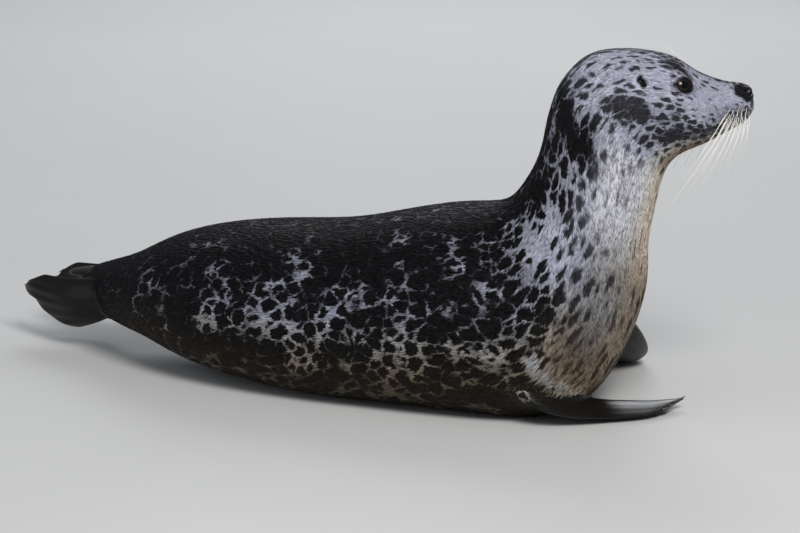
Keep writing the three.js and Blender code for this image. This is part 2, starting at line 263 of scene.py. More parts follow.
def evenly(density, low, high, count):
    # places whose closeness follows a density
    x = np.linspace(low, high, 4000)
    total = np.concatenate([[0], np.cumsum((density(x[1:]) + density(x[:-1])) / 2)])
    return np.interp(np.linspace(0, total[-1], count), total, x)


# Rings from tail to nose, points round each, and how far apart the rings are by section
bodyGrid = {"rings": 350, "around": 200, "noseRings": 10,
            "section": (0, 10, 14, 16.5, 18, 20, 22.5, 25), "spacing": (7.5, 7, 5, 3.2, 2, 1.2, 1.2, 0.9)}
# How far the skin lies inside the outer form, by section
coatDepth = {"section": (0, 4, 14, 17, 19, 25), "depth": (1.2, 2.2, 2.2, 1.4, 0.9, 0.4)}
# The coat's pattern is drawn in a space of its own: how much it is drawn out along the animal and how
# much finer it is at each section, and the length that the rounding of the nose takes in it
patternSpace = {"section": (0, 8, 11, 15, 17.5, 20, 25), "along": (1, 0.95, 0.6, 0.6, 1.1, 1.6, 1.8),
                "finer": (1.1, 1, 1.05, 1.1, 1.5, 1.9, 2), "nose": 16}


def bodyPoint(t, angle, inset):
    # a superellipse between the back and belly lines, its widest level lowered and its upper half
    # narrowed, and the soft bulges of the head pushed out from its middle
    row = sectionAt(t)
    top, low = row[..., 0:2], row[..., 2:4]
    half, drop, square, lean = (row[..., k] for k in range(4, 8))
    middle = (top + low) / 2
    up = (top - low) / 2
    tall = np.linalg.norm(up, axis=-1, keepdims=True)
    up = up * (1 - inset[..., None] / tall)
    exponent = np.where(np.sin(angle) < 0, 2 / square, 1.0)
    rise = signedPower(np.sin(angle), exponent)
    across = signedPower(np.cos(angle), exponent) * (1 - lean * np.maximum(rise, 0))
    level = rise - drop * (1 - rise * rise)
    middle = np.stack([middle[..., 0], 0 * half, middle[..., 1]], -1)
    raised = np.stack([up[..., 0] * level, across * (half - inset), up[..., 1] * level], -1)
    point = middle + raised
    outward = unit(raised)
    for swelling in bulges:
        away = (point * (1, 0, 1) + np.abs(point) * (0, 1, 0) - swelling["at"]) / swelling["reach"]
        point = point + outward * (swelling["out"] * np.exp(-(away**2).sum(-1, keepdims=True)))
    coat = np.stack([0 * half, across * half, level * tall[..., 0]], -1)
    return point, coat


def ringPlaces():
    # sections at which the rings stand, closer where the shape is finer, and how far along each is in
    # the space of the pattern
    fine = np.linspace(0, sectionCount - 1, 4000)
    row = sectionAt(fine)
    steps = np.diff(row, axis=0)
    length = (np.linalg.norm(steps[:, 0:2], axis=1) + np.linalg.norm(steps[:, 2:4], axis=1)) / 2
    middle = np.linalg.norm(steps[:, 0:2] + steps[:, 2:4], axis=1) / 2
    wanted = np.interp(fine[1:], bodyGrid["section"], bodyGrid["spacing"])
    total = np.concatenate([[0], np.cumsum(length / wanted)])
    t = np.interp(np.linspace(0, total[-1], bodyGrid["rings"]), total, fine)
    middle = middle * np.interp(fine[1:], patternSpace["section"], patternSpace["along"])
    axis = np.interp(t, fine, np.concatenate([[0], np.cumsum(middle)]))
    return t, axis


def aroundPlaces():
    # closer together at the height of the eyes; it starts and ends under the belly
    eyeLine = math.radians(37)
    reach = math.radians(24)

    def density(x):
        return 1 + 1.1 * bump(x, eyeLine, reach) + 1.1 * bump(x, math.pi - eyeLine, reach)

    return evenly(density, -math.pi / 2, 1.5 * math.pi, bodyGrid["around"] + 1)[:-1]


def gridNormals(points):
    # across and along the grid, crossed
    along = np.gradient(points, axis=0)
    across = np.roll(points, -1, 1) - np.roll(points, 1, 1)
    return unit(np.cross(across, along))


# Lines of the face seen from its side, as (s, z)
mouthLine = [(397, 407), (404, 402), (412, 400), (424, 401), (437, 404), (452, 407), (463, 409), (475, 409)]
nostril = {"line": [(470, 452.5), (475.5, 450), (480.5, 445)], "deep": 9, "half": 4.2}
earOpening = {"line": [(334.5, 473.5), (337.5, 471), (340, 467)], "deep": 7, "half": 2.8}

# Rows of follicles on the whisker pad from the top down: height, first and last s, count and longest
# whisker
whiskerRows = [(427, 449, 472, 5, 34), (421.5, 444, 475, 7, 62), (416, 441, 476, 8, 100),
               (411, 443, 474, 7, 132), (406, 449, 468, 4, 84)]
follicles = [(s, z) for z, first, last, count, longest in whiskerRows
             for s in np.linspace(first, last, count)]


def awayFrom(points, line):
    # distance in the side view from each point to the nearest stretch of a line
    flat = points[..., [0, 2]]
    line = np.asarray(line, float)
    nearest = np.full(flat.shape[:-1], 1e9)
    for a, b in zip(line[:-1], line[1:]):
        along = b - a
        f = np.clip(((flat - a) @ along) / (along @ along), 0, 1)
        nearest = np.minimum(nearest, np.linalg.norm(flat - a - f[..., None] * along, axis=-1))
    return nearest


def follicleShare(points, radius):
    # 1 at each follicle of the whisker pads and 0 between them
    nearest = np.full(points.shape[:-1], 1e9)
    for s, z in follicles:
        nearest = np.minimum(nearest, np.hypot(points[..., 0] - s, points[..., 2] - z))
    return np.exp(-((nearest / radius) ** 2)) * smooth(np.abs(points[..., 1]), 12, 17)


def nostrilAway(points):
    return awayFrom(points, nostril["line"]) + 9 * smooth(np.abs(points[..., 1]), 9, 4)


def earAway(points):
    return awayFrom(points, earOpening["line"]) + 20 * smooth(np.abs(points[..., 1]), 50, 30)


def blob(points, at, size):
    # soft swelling on either side of the animal, stretched by its three sizes
    mirrored = points * (1, 0, 1) + np.abs(points) * (0, 1, 0)
    return np.exp(-(((mirrored - at) / size) ** 2).sum(-1))


def relief(points):
    # fine shape of the head pushed along the normals: lips, whisker pads, nostrils, ears and folds
    lip = awayFrom(points, mouthLine)
    height = -2.4 * np.exp(-((lip / 1.5) ** 2))
    height = height + 1.6 * blob(points, (450, 40, 415), (22, 16, 6))  # edge of the upper lip
    height = height + 1.3 * blob(points, (430, 34, 392), (26, 16, 7))  # lower lip
    height = height - 2.2 * blob(points, (488, 0, 424), (9, 1.8, 9))  # groove under the nose
    height = height + 1.3 * blob(points, (478, 11, 421), (9, 8, 9))  # front of the whisker pads
    height = height + 0.6 * follicleShare(points, 1.7)
    away = nostrilAway(points)
    height = height + 1 * bump(away, 7, 2.2)  # wings of the nose
    height = height - nostril["deep"] * np.exp(-((away / nostril["half"]) ** 4))
    ear = earAway(points)
    height = height - earOpening["deep"] * np.exp(-((ear / earOpening["half"]) ** 4))
    height = height + 1.3 * bump(ear, 5.6, 1.8)
    height = height + 1.6 * blob(points, (405, 33, 484), (12, 9, 6))  # whisker root over the eye
    height = height - 1.4 * blob(points, (414, 38, 462), (13, 12, 13))  # hollow ahead of the eye
    return height


def eyeFrame(mirror):
    # centre of the eye, its gaze, and the forward and upward directions across the gaze
    centre = np.array(eyeball["at"]) * (1, mirror, 1)
    gaze = unit(np.array(eyeball["gaze"]) * (1, mirror, 1))
    forward = unit(np.array([1.0, 0, 0]) - gaze[0] * gaze)
    upward = np.cross(forward, gaze) * mirror
    return centre, gaze, forward, upward


def eyeCoordinates(points, mirror):
    centre, gaze, forward, upward = eyeFrame(mirror)
    away = points - centre
    return away @ forward, away @ upward, away @ gaze


def openingShare(a, b):
    # 1 on the rim of the lids: an ellipse drawn out to a corner behind and a smaller one ahead
    turn = np.arctan2(b / eyeball["wide"][1], a / eyeball["wide"][0])
    corner = 1 + 0.2 * bump(np.abs(turn), math.pi, 0.3) + 0.08 * bump(turn, -0.25, 0.35)
    return np.hypot(a / eyeball["wide"][0], b / eyeball["wide"][1]) / corner


def noseTip():
    # end of the skin, under the coat there
    return np.array(noseEnd) - (coatDepth["depth"][-1], 0, 0.0)


def domeRings(ring, tip):
    # rings from a last one towards a tip, on a quarter ellipse
    middle = ring.mean(0)
    angle = np.linspace(0, math.pi / 2, bodyGrid["noseRings"] + 2)[1:-1, None, None]
    return middle + (ring - middle) * np.cos(angle) + (tip - middle) * np.sin(angle)


def bodySurface():
    t, axis = ringPlaces()
    angle = aroundPlaces()
    tt, angles = np.meshgrid(t, angle, indexing="ij")
    inset = np.interp(tt, coatDepth["section"], coatDepth["depth"])
    points, coat = bodyPoint(tt, angles, inset)
    coat = coat * np.interp(tt, patternSpace["section"], patternSpace["finer"])[..., None]
    coat[..., 0] = axis[:, None]
    points = np.concatenate([points, domeRings(points[-1], noseTip())])
    coat = np.concatenate([coat, domeRings(coat[-1], coat[-1].mean(0) + (patternSpace["nose"], 0, 0))])
    t = np.concatenate([t, np.full(bodyGrid["noseRings"], t[-1])])
    tt, angles = np.meshgrid(t, angle, indexing="ij")
    way = np.stack([tt, np.degrees(np.arctan2(np.sin(angles), np.abs(np.cos(angles)))), 0 * tt], -1)
    normals = gridNormals(points)
    points = points + normals * relief(points)[..., None]
    plain = points.copy()
    for mirror in (-1, 1):
        a, b, height = eyeCoordinates(points, mirror)
        inside = (height > 0) * (1 - smooth(openingShare(a, b), 1.4, 1.7))
        points = points - eyeFrame(mirror)[1] * (inside * np.maximum(height - 6, 0))[..., None]
    points[..., 2] = np.maximum(points[..., 2], 0)
    lie = -np.gradient(place(points), axis=0)
    around = np.roll(place(points), -1, 1) - np.roll(place(points), 1, 1)
    down = unit(around) * -np.sign(np.cos(angles))[..., None]
    lie = unit(lie) + 0.22 * down * np.abs(np.cos(angles))[..., None]
    return {"points": points, "plain": plain, "coat": coat * mm, "lie": unit(lie), "way": way, "t": t,
            "angle": angle}


def bodyUv(body):
    # the animal unrolled: across is the way round, up the way along, with more room for the head
    across = np.linspace(0, 1, len(body["angle"]) + 1)
    edge = wrapped(body["points"])
    step = np.linalg.norm(np.diff(edge, axis=0), axis=-1).mean(1)
    weight = np.interp(body["t"][1:], (0, 14, 17, 25), (1, 1.1, 2.2, 2.6))
    up = np.concatenate([[0], np.cumsum(step * weight)])
    up = 0.01 + 0.79 * up / up[-1]
    uu, vv = np.meshgrid(across, up, indexing="xy")
    return np.stack([0.01 + 0.98 * uu, vv], -1)


# Stations of each from root to tip: middle, direction across, half width and half thickness
foreRight = [(190, -104, 84, 0.3, -0.9, -0.35, 34, 26), (247, -90, 37, 0.36, -0.93, -0.2, 36, 20),
             (299, -47, 14, 0.38, -0.92, -0.07, 37, 12), (344, -13, 9.5, 0.42, -0.9, -0.05, 33, 8.5),
             (379, 17, 9.5, 0.5, -0.86, -0.03, 25, 6.4), (405, 48, 15, 0.6, -0.8, 0, 11, 4.5)]
foreLeft = [(224, 96, 108, 0.95, 0.1, -0.2, 42, 28), (243, 140, 85, 0.97, 0.2, 0, 44, 26),
            (249, 192, 48, 0.96, 0.28, 0.05, 44, 22), (237, 237, 16, 0.93, 0.37, 0, 42, 14),
            (208, 272, 9.4, 0.85, 0.5, 0, 31, 8.8), (184, 292, 7.2, 0.8, 0.6, 0, 14, 6)]


def hindStations(mirror, lift, shorten):
    # both hind flippers trail side by side, on edge, one a little higher and shorter
    return [(-450, mirror * 22, 84 + lift, 0, 0, 1, 32, 28),
            (-495, mirror * 36, 70 + lift, 0, 0, 1, 37, 22),
            (-535, mirror * 38, 64 + lift, 0, 0, 1, 38, 16),
            (-574, mirror * 33, 64 + lift, 0, 0, 1, 35, 12),
            (-611 + shorten, mirror * 26, 66 + lift, 0, 0, 1, 30, 8)]


tailTab = [(-440, 0, 116, 0, 1, 0, 27, 12), (-480, 0, 112, 0, 1, 0, 25, 10),
           (-520, 0, 105, 0, 1, 0, 20, 7), (-550, 0, 99, 0, 1, 0, 11, 5)]


def foreReach(longest):
    # the digit at one edge is the longest and the others fall back in a curve
    return lambda x: 1 - 0.16 * ((1 - longest * x) / 2) ** 1.3


def hindReach(x):
    # a rounded upper lobe, a cleft under it and a lower lobe that shortens towards its edge
    def share(low, high):
        return np.clip((x - low) / (high - low), 0, 1)

    upper = 1 - 0.17 * share(0.45, 1) ** 2 - 0.04 * share(0.3, 0) ** 2
    return upper - 0.12 * share(0, -0.08) - 0.05 * bump(x, -0.08, 0.05) - 0.5 * share(-0.1, -1) ** 1.4


def tailReach(x):
    return 1 - 0.1 * x * x


def lying(points):
    return (points + frameShift) * mm


# lead is how much thicker a blade is along one edge, and digits how deep the folds between them are
blades = {
    "foreRight": {"stations": foreRight, "reach": foreReach(-1), "put": lying, "lead": -0.35, "digits": 0.04,
                  "claw": "fore", "node": "fore_flipper_right"},
    "foreLeft": {"stations": foreLeft, "reach": foreReach(1), "put": lying, "lead": 0.35, "digits": 0.04,
                 "claw": "fore", "node": "fore_flipper_left"},
    "hindRight": {"stations": hindStations(-1, 0, 0), "reach": hindReach, "put": place, "lead": 0,
                  "digits": 0.16, "claw": "hind", "node": "hind_flipper_right"},
    "hindLeft": {"stations": hindStations(1, 5, 12), "reach": hindReach, "put": place, "lead": 0,
                 "digits": 0.16, "claw": "hind", "node": "hind_flipper_left"},
    "tail": {"stations": tailTab, "reach": tailReach, "put": place, "lead": 0, "digits": 0, "claw": None,
             "node": "tail"},
}
bladeGrid = {"rings": 64, "around": 60, "inset": 0.5, "tipFrom": 0.8}
digitPlaces = (-0.8, -0.4, 0, 0.4, 0.8)


def bladePoint(blade, v, angle, inset=0.0):
    # a flat oval carried along a path: each digit ends at its own reach, the edge closes round the
    # tip, and the digits stand out as ridges with webs between them
    path = spline(blade["stations"])
    x = np.cos(angle)
    last = len(blade["stations"]) - 1
    t = v * blade["reach"](x) * last
    row = path(t)
    ahead = path(t + 0.02)[..., :3] - path(t - 0.02)[..., :3]
    side = unit(row[..., 3:6])
    up = unit(np.cross(ahead, side))
    nearTip = np.clip((v - bladeGrid["tipFrom"]) / (1 - bladeGrid["tipFrom"]), 0, 1)
    close = np.sqrt(np.clip(1 - nearTip**2, 0, 1))
    ridges = 1 - blade["digits"] * (0.5 - 0.5 * np.cos(2 * math.pi * x / 0.4)) * smooth(v, 0.3, 0.6)
    half = (row[..., 6] - inset) * (0.35 + 0.65 * close) * x
    thick = (row[..., 7] - inset) * (1 + blade["lead"] * x)
    thick = thick * signedPower(np.sin(angle), 1.4) * close * ridges
    point = row[..., :3] + side * half[..., None] + up * thick[..., None]
    point[..., 2] = np.maximum(point[..., 2], 0)
    return point


def bladeSurface(name, number):
    blade = blades[name]
    v = np.linspace(0, 1, bladeGrid["rings"]) ** 0.9
    angle = np.linspace(0, 2 * math.pi, bladeGrid["around"], endpoint=False)
    vv, angles = np.meshgrid(v, angle, indexing="ij")
    points = blade["put"](bladePoint(blade, vv, angles, bladeGrid["inset"]))
    stations = np.array(blade["stations"])
    length = np.linalg.norm(np.diff(stations[:, :3], axis=0), axis=1).sum()
    far = 400 * (number + 1)  # away from the body's own pattern
    coat = np.stack([-vv * length - far, np.cos(angles) * 40, np.sin(angles) * 12], -1)
    lie = unit(np.gradient(points, axis=0))
    way = np.stack([vv, np.cos(angles), 0 * vv + number + 1], -1)
    fields = {"coat": wrapped(coat * mm), "lie": wrapped(lie), "way": wrapped(way)}
    across = np.linspace(0, 1, bladeGrid["around"] + 1)
    low = number * 0.2
    uu, up = np.meshgrid(across, v, indexing="xy")
    uv = np.stack([low + 0.005 + 0.19 * uu, 0.81 + 0.18 * up], -1)
    mesh = closedMesh(name, points, points[0].mean(0), None, fields, uv)
    return mesh


def closedMesh(name, grid, first, last, fields, uv):
    points, faces, spots = lidded(grid, first, last)
    corners = {key: values.reshape(-1, 3)[spots] for key, values in fields.items()}
    corners["OFBake"] = uv.reshape(-1, 2)[spots]
    return meshOf(name, points, faces, corners)


def localFit(body, mirror, values):
    # fourth degree surface through values of the body round the eye, over the plane of the lids
    a, b, height = eyeCoordinates(body["plain"], mirror)
    near = (np.hypot(a, b) < 27) & (height > 0) & (height < 30)
    powers = [(i, j) for i in range(5) for j in range(5 - i)]

    def terms(x, y):
        return np.stack([(x / 20) ** i * (y / 20) ** j for i, j in powers], -1)

    solved = np.linalg.lstsq(terms(a[near], b[near]), values[near], rcond=None)[0]
    return lambda x, y: terms(x, y) @ solved


def lidPatch(body, uvs, mirror):
    # a ring of skin round the eye: a profile goes from its outer edge, sunk under the body, over a
    # fold and the rolled rim to the eyeball and back underneath, turned round the opening
    centre, gaze, forward, upward = eyeFrame(mirror)
    surface = localFit(body, mirror, eyeCoordinates(body["plain"], mirror)[2])
    share = np.array([2.0, 1.88, 1.76, 1.66, 1.56, 1.48, 1.41, 1.35, 1.29, 1.23, 1.17, 1.11, 1.06, 1.02,
                      0.985, 0.965, 0.97, 1.05, 1.3, 1.7])
    lift = np.array([-0.9, -0.15, 0.12, 0.2, 0.2, 0.05, -0.35, -0.7, -0.45, 0.1, 0.5, 0.6, 0.35, -0.15,
                     -0.9, -1.8, -3.2, -4, -4, -3])
    turn = np.linspace(0, 2 * math.pi, 96, endpoint=False)
    shares, turns = np.meshgrid(share, turn, indexing="xy")
    lifts = np.meshgrid(lift, turn, indexing="xy")[0]
    wide, tall = eyeball["wide"]
    x, y = np.cos(turns) * wide, np.sin(turns) * tall
    scale = shares / openingShare(x, y)
    x, y = x * scale, y * scale
    upper = 1 + 0.9 * bump(turns, math.pi / 2, 1.0)
    level = surface(x, y)
    ball = np.sqrt(np.clip(eyeball["radius"] ** 2 - x * x - y * y, 4, None))
    hug = smooth(shares, 1.75, 1.0)  # near the rim the lid follows the eyeball
    level = level * (1 - hug) + np.minimum(level, ball + 1.7) * hug
    level = level + np.where(lifts < 0, lifts, lifts * upper)
    points = centre + x[..., None] * forward + y[..., None] * upward + level[..., None] * gaze
    fields = {}
    for key in ("coat", "lie", "way"):
        fit = localFit(body, mirror, body[key])
        fields[key] = fit(x, y)
    uv = localFit(body, mirror, uvs[:, :-1])(x, y)
    rings, around = points.shape[:2]
    i, j = np.meshgrid(np.arange(rings), np.arange(around), indexing="ij")
    k, m = (i + 1) % rings, (j + 1) % around
    faces = np.stack([i * around + j, i * around + m, k * around + m, k * around + j], -1).reshape(-1, 4)
    if mirror < 0:
        faces = faces[:, ::-1]
    flat = faces.ravel()
    corners = {key: values.reshape(-1, 3)[flat] for key, values in fields.items()}
    corners["OFBake"] = uv.reshape(-1, 2)[flat]
    return meshOf("lids", place(points).reshape(-1, 3), [faces], corners)


seamSmoothing = {"reach": 0.016, "rounds": 24}


def union(base, others):
    for other in others:
        cut = base.modifiers.new("join", "BOOLEAN")
        cut.operation = "UNION"
        cut.solver = "EXACT"
        cut.object = other
    graph = bpy.context.evaluated_depsgraph_get()
    mesh = bpy.data.meshes.new_from_object(base.evaluated_get(graph))
    for thing in [base] + others:
        bpy.data.objects.remove(thing)
    return mesh


def vertexPoints(mesh):
    points = np.zeros(len(mesh.vertices) * 3, np.float32)
    mesh.vertices.foreach_get("co", points)
    return points.reshape(-1, 3).astype(float)


def cornerVertices(mesh):
    corners = np.zeros(len(mesh.loops), np.int32)
    mesh.loops.foreach_get("vertex_index", corners)
    return corners


def toPoints(mesh, values):
    # mean of each vertex's corners
    corners = cornerVertices(mesh)
    count = np.maximum(np.bincount(corners, minlength=len(mesh.vertices)), 1)
    sums = [np.bincount(corners, values[:, k], len(mesh.vertices)) / count for k in range(values.shape[1])]
    return np.stack(sums, -1)


def softenSeams(mesh, parts):
    # vertices between two parts, and those near them, move towards the mean of their neighbours
    points = vertexPoints(mesh)
    corners = cornerVertices(mesh)
    sizes = np.zeros(len(mesh.polygons), np.int32)
    mesh.polygons.foreach_get("loop_total", sizes)
    partOfCorner = np.repeat(parts, sizes)
    low = np.full(len(points), 99)
    high = np.zeros(len(points), int)
    np.minimum.at(low, corners, partOfCorner)
    np.maximum.at(high, corners, partOfCorner)
    seam = points[low != high]
    near = np.full(len(points), 1.0)
    for start in range(0, len(seam), 100):
        some = seam[start : start + 100]
        lo, hi = some.min(0) - seamSmoothing["reach"], some.max(0) + seamSmoothing["reach"]
        inside = np.where(((points > lo) & (points < hi)).all(1))[0]
        away = np.linalg.norm(points[inside, None] - some[None], axis=2).min(1)
        near[inside] = np.minimum(near[inside], away)
    weight = smooth(near, seamSmoothing["reach"], 0.0) * 0.6
    edges = np.zeros(len(mesh.edges) * 2, np.int32)
    mesh.edges.foreach_get("vertices", edges)
    a, b = edges.reshape(-1, 2).T
    degree = np.bincount(np.concatenate([a, b]), minlength=len(points))
    count = len(points)
    for _ in range(seamSmoothing["rounds"]):
        sums = [np.bincount(a, points[b, k], count) + np.bincount(b, points[a, k], count) for k in range(3)]
        points += weight[:, None] * (np.stack(sums, -1) / degree[:, None] - points)
    mesh.vertices.foreach_set("co", points.astype(np.float32).ravel())
    mesh.update()
    print(f"seams: {len(seam)} vertices, {int((weight > 0).sum())} softened")


def makeSkin():
    body = bodySurface()
    uvs = bodyUv(body)
    grid = place(body["points"])
    fields = {key: wrapped(body[key]) for key in ("coat", "lie", "way")}
    tip = noseTip()
    nose = place(tip + (relief(tip), 0, 0))
    tail = place(np.array([tailBlunt], float))[0]
    mesh = closedMesh("body", grid, tail, nose, fields, uvs)
    pieces = [link("body", mesh)]
    for number, name in enumerate(blades):
        pieces.append(link(name, bladeSurface(name, number)))
    for number, piece in enumerate(pieces):
        part = piece.data.attributes.new("part", "INT", "FACE")
        part.data.foreach_set("value", np.full(len(piece.data.polygons), number, np.int32))
    skin = union(pieces[0], pieces[1:])
    parts = np.zeros(len(skin.polygons), np.int32)
    skin.attributes["part"].data.foreach_get("value", parts)
    softenSeams(skin, parts)
    lids = [link("lids", lidPatch(body, uvs, mirror)) for mirror in (-1, 1)]
    whole = link("skin", skin)
    with bpy.context.temp_override(active_object=whole, selected_editable_objects=[whole] + lids):
        bpy.ops.object.join()
    skin = whole.data
    print(f"skin: {len(skin.vertices)} vertices, {len(skin.polygons)} faces")
    return whole, body


skin, body = makeSkin()
skinMesh = skin.data
skinPoints = vertexPoints(skinMesh)
coat = toPoints(skinMesh, getValues(skinMesh, "coat", 3))
lie = unit(toPoints(skinMesh, getValues(skinMesh, "lie", 3)))
way = toPoints(skinMesh, getValues(skinMesh, "way", 3))
straight = straighten(skinPoints)


# Pale and dark places of the coat: section, angle (90 on the back, 0 at the side, -90 below), their
# half sizes in sections and degrees, and how much paler they are
patches = [
    (11.0, 26, 0.65, 13, 0.56),  # over the shoulder; this and the third are pale coat brightened as painted sheen
    (11.1, 8, 0.6, 9, 0.15),
    (10.4, 46, 0.6, 11, 0.54),
    (9.5, 56, 0.45, 7, 0.36),
    (10.3, 33, 0.35, 8, 0.3),
    (9.6, 22, 0.4, 8, 0.15),
    (9.6, 0, 0.35, 9, 0.2),
    (9.9, 12, 0.3, 6, 0.2),
    (11.6, 40, 0.4, 8, 0.25),
    (4.6, 8, 0.28, 8, 0.1),  # flank
    (5.5, 10, 0.24, 9, 0.48),
    (5.9, -4, 0.3, 7, 0.14),
    (6.4, 18, 0.2, 7, 0.25),
    (6.9, 2, 0.2, 6, 0.2),
    (3.4, 22, 0.2, 6, 0.25),
    (5.9, 36, 0.15, 5, 0.25),
    (7.2, 55, 0.2, 5, 0.3),
    (8.2, 40, 0.2, 6, 0.3),
    (8.8, 30, 0.25, 6, 0.25),
    (7.6, -4, 0.3, 6, 0.2),
    (12.7, 14, 0.5, 10, -0.12),  # neck
    (13.6, 34, 0.8, 11, 0.24),
    (12.6, 40, 0.6, 9, 0.15),
    (13.4, -8, 1.1, 12, 0.1),
    (16.3, 41, 0.4, 8, 0.45),  # behind the cheek
    (15.2, 22, 0.5, 9, -0.12),
    (16.5, 18, 0.4, 8, -0.08),
    (16.4, 70, 0.5, 12, -0.22),
    (15.8, 55, 0.4, 9, -0.15),
    (17.5, 21, 0.5, 8, -0.25),  # under and behind the ear
    (17.9, 7, 0.7, 9, -0.2),
    (18.7, 17, 0.35, 7, 0.25),
    (19.3, 34, 0.45, 11, 0.25),  # behind the eye
    (18.5, 2, 0.25, 5, 0.3),  # rings on the cheek
    (17.9, -14, 0.5, 6, 0.12),
    (19.2, -10, 0.6, 8, -0.22),
    (19.3, 7, 0.45, 7, -0.22),
    (19.9, 64, 0.6, 14, -0.3),
    (18.2, -36, 1.0, 9, -0.2),  # jaw
    (17.2, -12, 0.6, 9, 0.12),
    (17.1, -34, 0.5, 9, 0.16),
    (20.2, -38, 1.3, 11, -0.36),
    (21.6, 24, 1.8, 22, 0.7),  # muzzle
    (17.9, 60, 0.9, 14, 0.16),  # crown
    (18.8, 44, 0.6, 12, 0.2),
    (16.9, 60, 0.4, 10, -0.16),
    (19.9, 4, 0.5, 8, 0.2),  # under the eye
    (22.8, 4, 0.9, 12, -0.2),
]

# Dark and pale shade of the coat by region; below and under the chin the dark is lifted and browner, partly
# as painted warm light from the ground
shades = {"back": (0.0035, 0.3), "side": (0.004, 0.33), "below": (0.011, 0.11), "rump": (0.0035, 0.08),
          "mottled": (0.03, 0.4), "throat": (0.12, 0.66), "chest": (0.035, 0.24), "nape": (0.007, 0.3),
          "head": (0.036, 0.5), "cheek": (0.028, 0.38), "jaw": (0.024, 0.34), "chin": (0.05, 0.3),
          "flipper": (0.004, 0.3)}
# How far the pale web spreads: flank and shoulder add to the back's level, crown, cheek and jaw take
# from the head's, and the rest are levels of their own
paleLevels = {"back": 0.06, "flank": 0.1, "shoulder": 0.08, "mottled": 0.44, "throat": 0.78, "chest": 0.56,
              "nape": 0.2, "head": 0.5, "crown": 0.2, "cheek": 0.2, "jaw": 0.18, "flipper": -0.6}
armRidge = {"line": [(228, 98), (236, 82), (247, 72), (259, 57), (272, 44), (290, 32)],
            "half": 8, "paler": 0.75}  # pale fur down the upper edge of the arm, with a painted highlight along its ridge


def coatRegions(way, straight):
    # share of each region of the coat at each point, with soft borders between them
    t, angle, part = way[:, 0], way[:, 1], np.round(way[:, 2])
    w = np.abs(straight[:, 1])
    head = smooth(t, 15.8, 17.0)
    # arm: pale fur along the arm's upper edge, and a painted highlight on that ridge
    arm = np.exp(-((awayFrom(straight, armRidge["line"]) / armRidge["half"]) ** 2))
    return {
        "flank": smooth(angle, 62, 26),
        "low": smooth(angle, 8, -30),
        "throat": smooth(t, 11.2, 13.4) * smooth(angle, 27, -10),
        "chest": smooth(angle, 8, -38) * smooth(t, 13.6, 11.4) * smooth(t, 9, 10.5),
        "lowChest": bump(t, 10.45, 0.6) * bump(angle, -32, 20),
        "mottled": smooth(t, 10.3, 11.8) * smooth(t, 14.5, 13) * smooth(angle, 34, 12),
        "nape": smooth(t, 11.6, 13) * smooth(angle, 20, 50),
        "head": head,
        "crown": smooth(angle, 62, 88) * smooth(t, 22, 19),
        "cheek": (blob(straight, (318, 74, 436), (40, 40, 14))
                  + blob(straight, (352, 68, 418), (30, 40, 18))),
        "jaw": (blob(straight, (388, 52, 402), (38, 40, 14))
                + blob(straight, (345, 60, 396), (26, 40, 13))),
        "chin": head * smooth(angle, -44, -64),
        "lips": blob(straight, (484, 14, 418), (9, 16, 9)),
        "arm": arm * np.where(part > 0, 0, smooth(w, 60, 90)),
    }


def paleness(t, angle, region):
    # grows from the back over the flank to the chest and throat; the rump fades to dark
    pale = paleLevels["back"] + paleLevels["flank"] * region["flank"]
    pale = pale + paleLevels["shoulder"] * smooth(t, 9, 11) * region["flank"]
    for name in ("mottled", "throat", "chest", "nape"):
        pale = pale + region[name] * (paleLevels[name] - pale)
    pale = pale + region["head"] * (paleLevels["head"] - pale - paleLevels["crown"] * region["crown"])
    darker = paleLevels["cheek"] * region["cheek"] + paleLevels["jaw"] * region["jaw"]
    pale = pale - region["head"] * darker
    pale = pale * smooth(t, 1.4, 4.8)
    for section, middle, sections, degrees, more in patches:
        pale = pale + more * bump(t, section, sections) * bump(angle, middle, degrees)
    # paler along the arm: pale fur there, with a painted highlight on the ridge
    return pale + armRidge["paler"] * region["arm"]


def shadesAt(t, angle, region):
    # from one region's dark and pale shade to the next one's, in order
    head = region["head"]
    shares = [("side", region["flank"]), ("below", region["low"] * smooth(t, 1, 3)),
              ("rump", smooth(t, 4, 1)), ("mottled", region["mottled"]),
              ("throat", smooth(t, 11.4, 13.6) * smooth(angle, 20, -14)), ("chest", region["chest"]),
              ("nape", region["nape"] * (1 - head)), ("head", head),
              ("jaw", head * np.clip(1.3 * region["jaw"], 0, 1)),
              ("cheek", head * np.clip(1.3 * region["cheek"], 0, 1))]
    shade = np.tile(shades["back"], (len(t), 1))
    for name, share in shares:
        shade = shade + share[:, None] * (np.array(shades[name]) - shade)
    # painted sheen over the shoulder and painted highlight along the arm's ridge: the pale shade is raised
    # there
    shoulder = bump(t, 10.9, 0.9) * bump(angle, 22, 18)
    shade[:, 1] += 0.16 * shoulder + 0.2 * region["arm"]
    shade[:, 1] *= 1 - 0.45 * region["lowChest"]
    # under the chin the dark is lifted and warmed: partly the coat's own tone, partly painted warm light
    # from below
    return shade + region["chin"][:, None] * (np.array(shades["chin"]) - shade)


def warmth(t, angle, region):
    # brown below, on the chest and under the jaw: partly the coat's own tone, partly painted warm light
    # thrown up from the ground; bluish on the back and head
    front = smooth(angle, -30, -68) * smooth(t, 8, 10)
    warm = -0.5 + 1.5 * smooth(angle, 22, -24) * smooth(t, 11.4, 10)
    warm = warm + 0.6 * region["chest"] + 0.35 * region["throat"] + 0.8 * front
    # bluer over the shoulder as painted sheen
    warm = warm - 0.5 * bump(t, 10.8, 1.2) * smooth(angle, 8, 24)
    # bluer along the arm's ridge as painted highlight
    warm = warm - 1.2 * region["arm"] - 0.6 * region["lowChest"]
    warm = np.maximum(warm - 0.75 * region["head"] * smooth(angle, -45, -15), 1.6 * region["chin"] - 0.4)
    return np.maximum(warm, 1.5 * region["lips"] - 0.4)


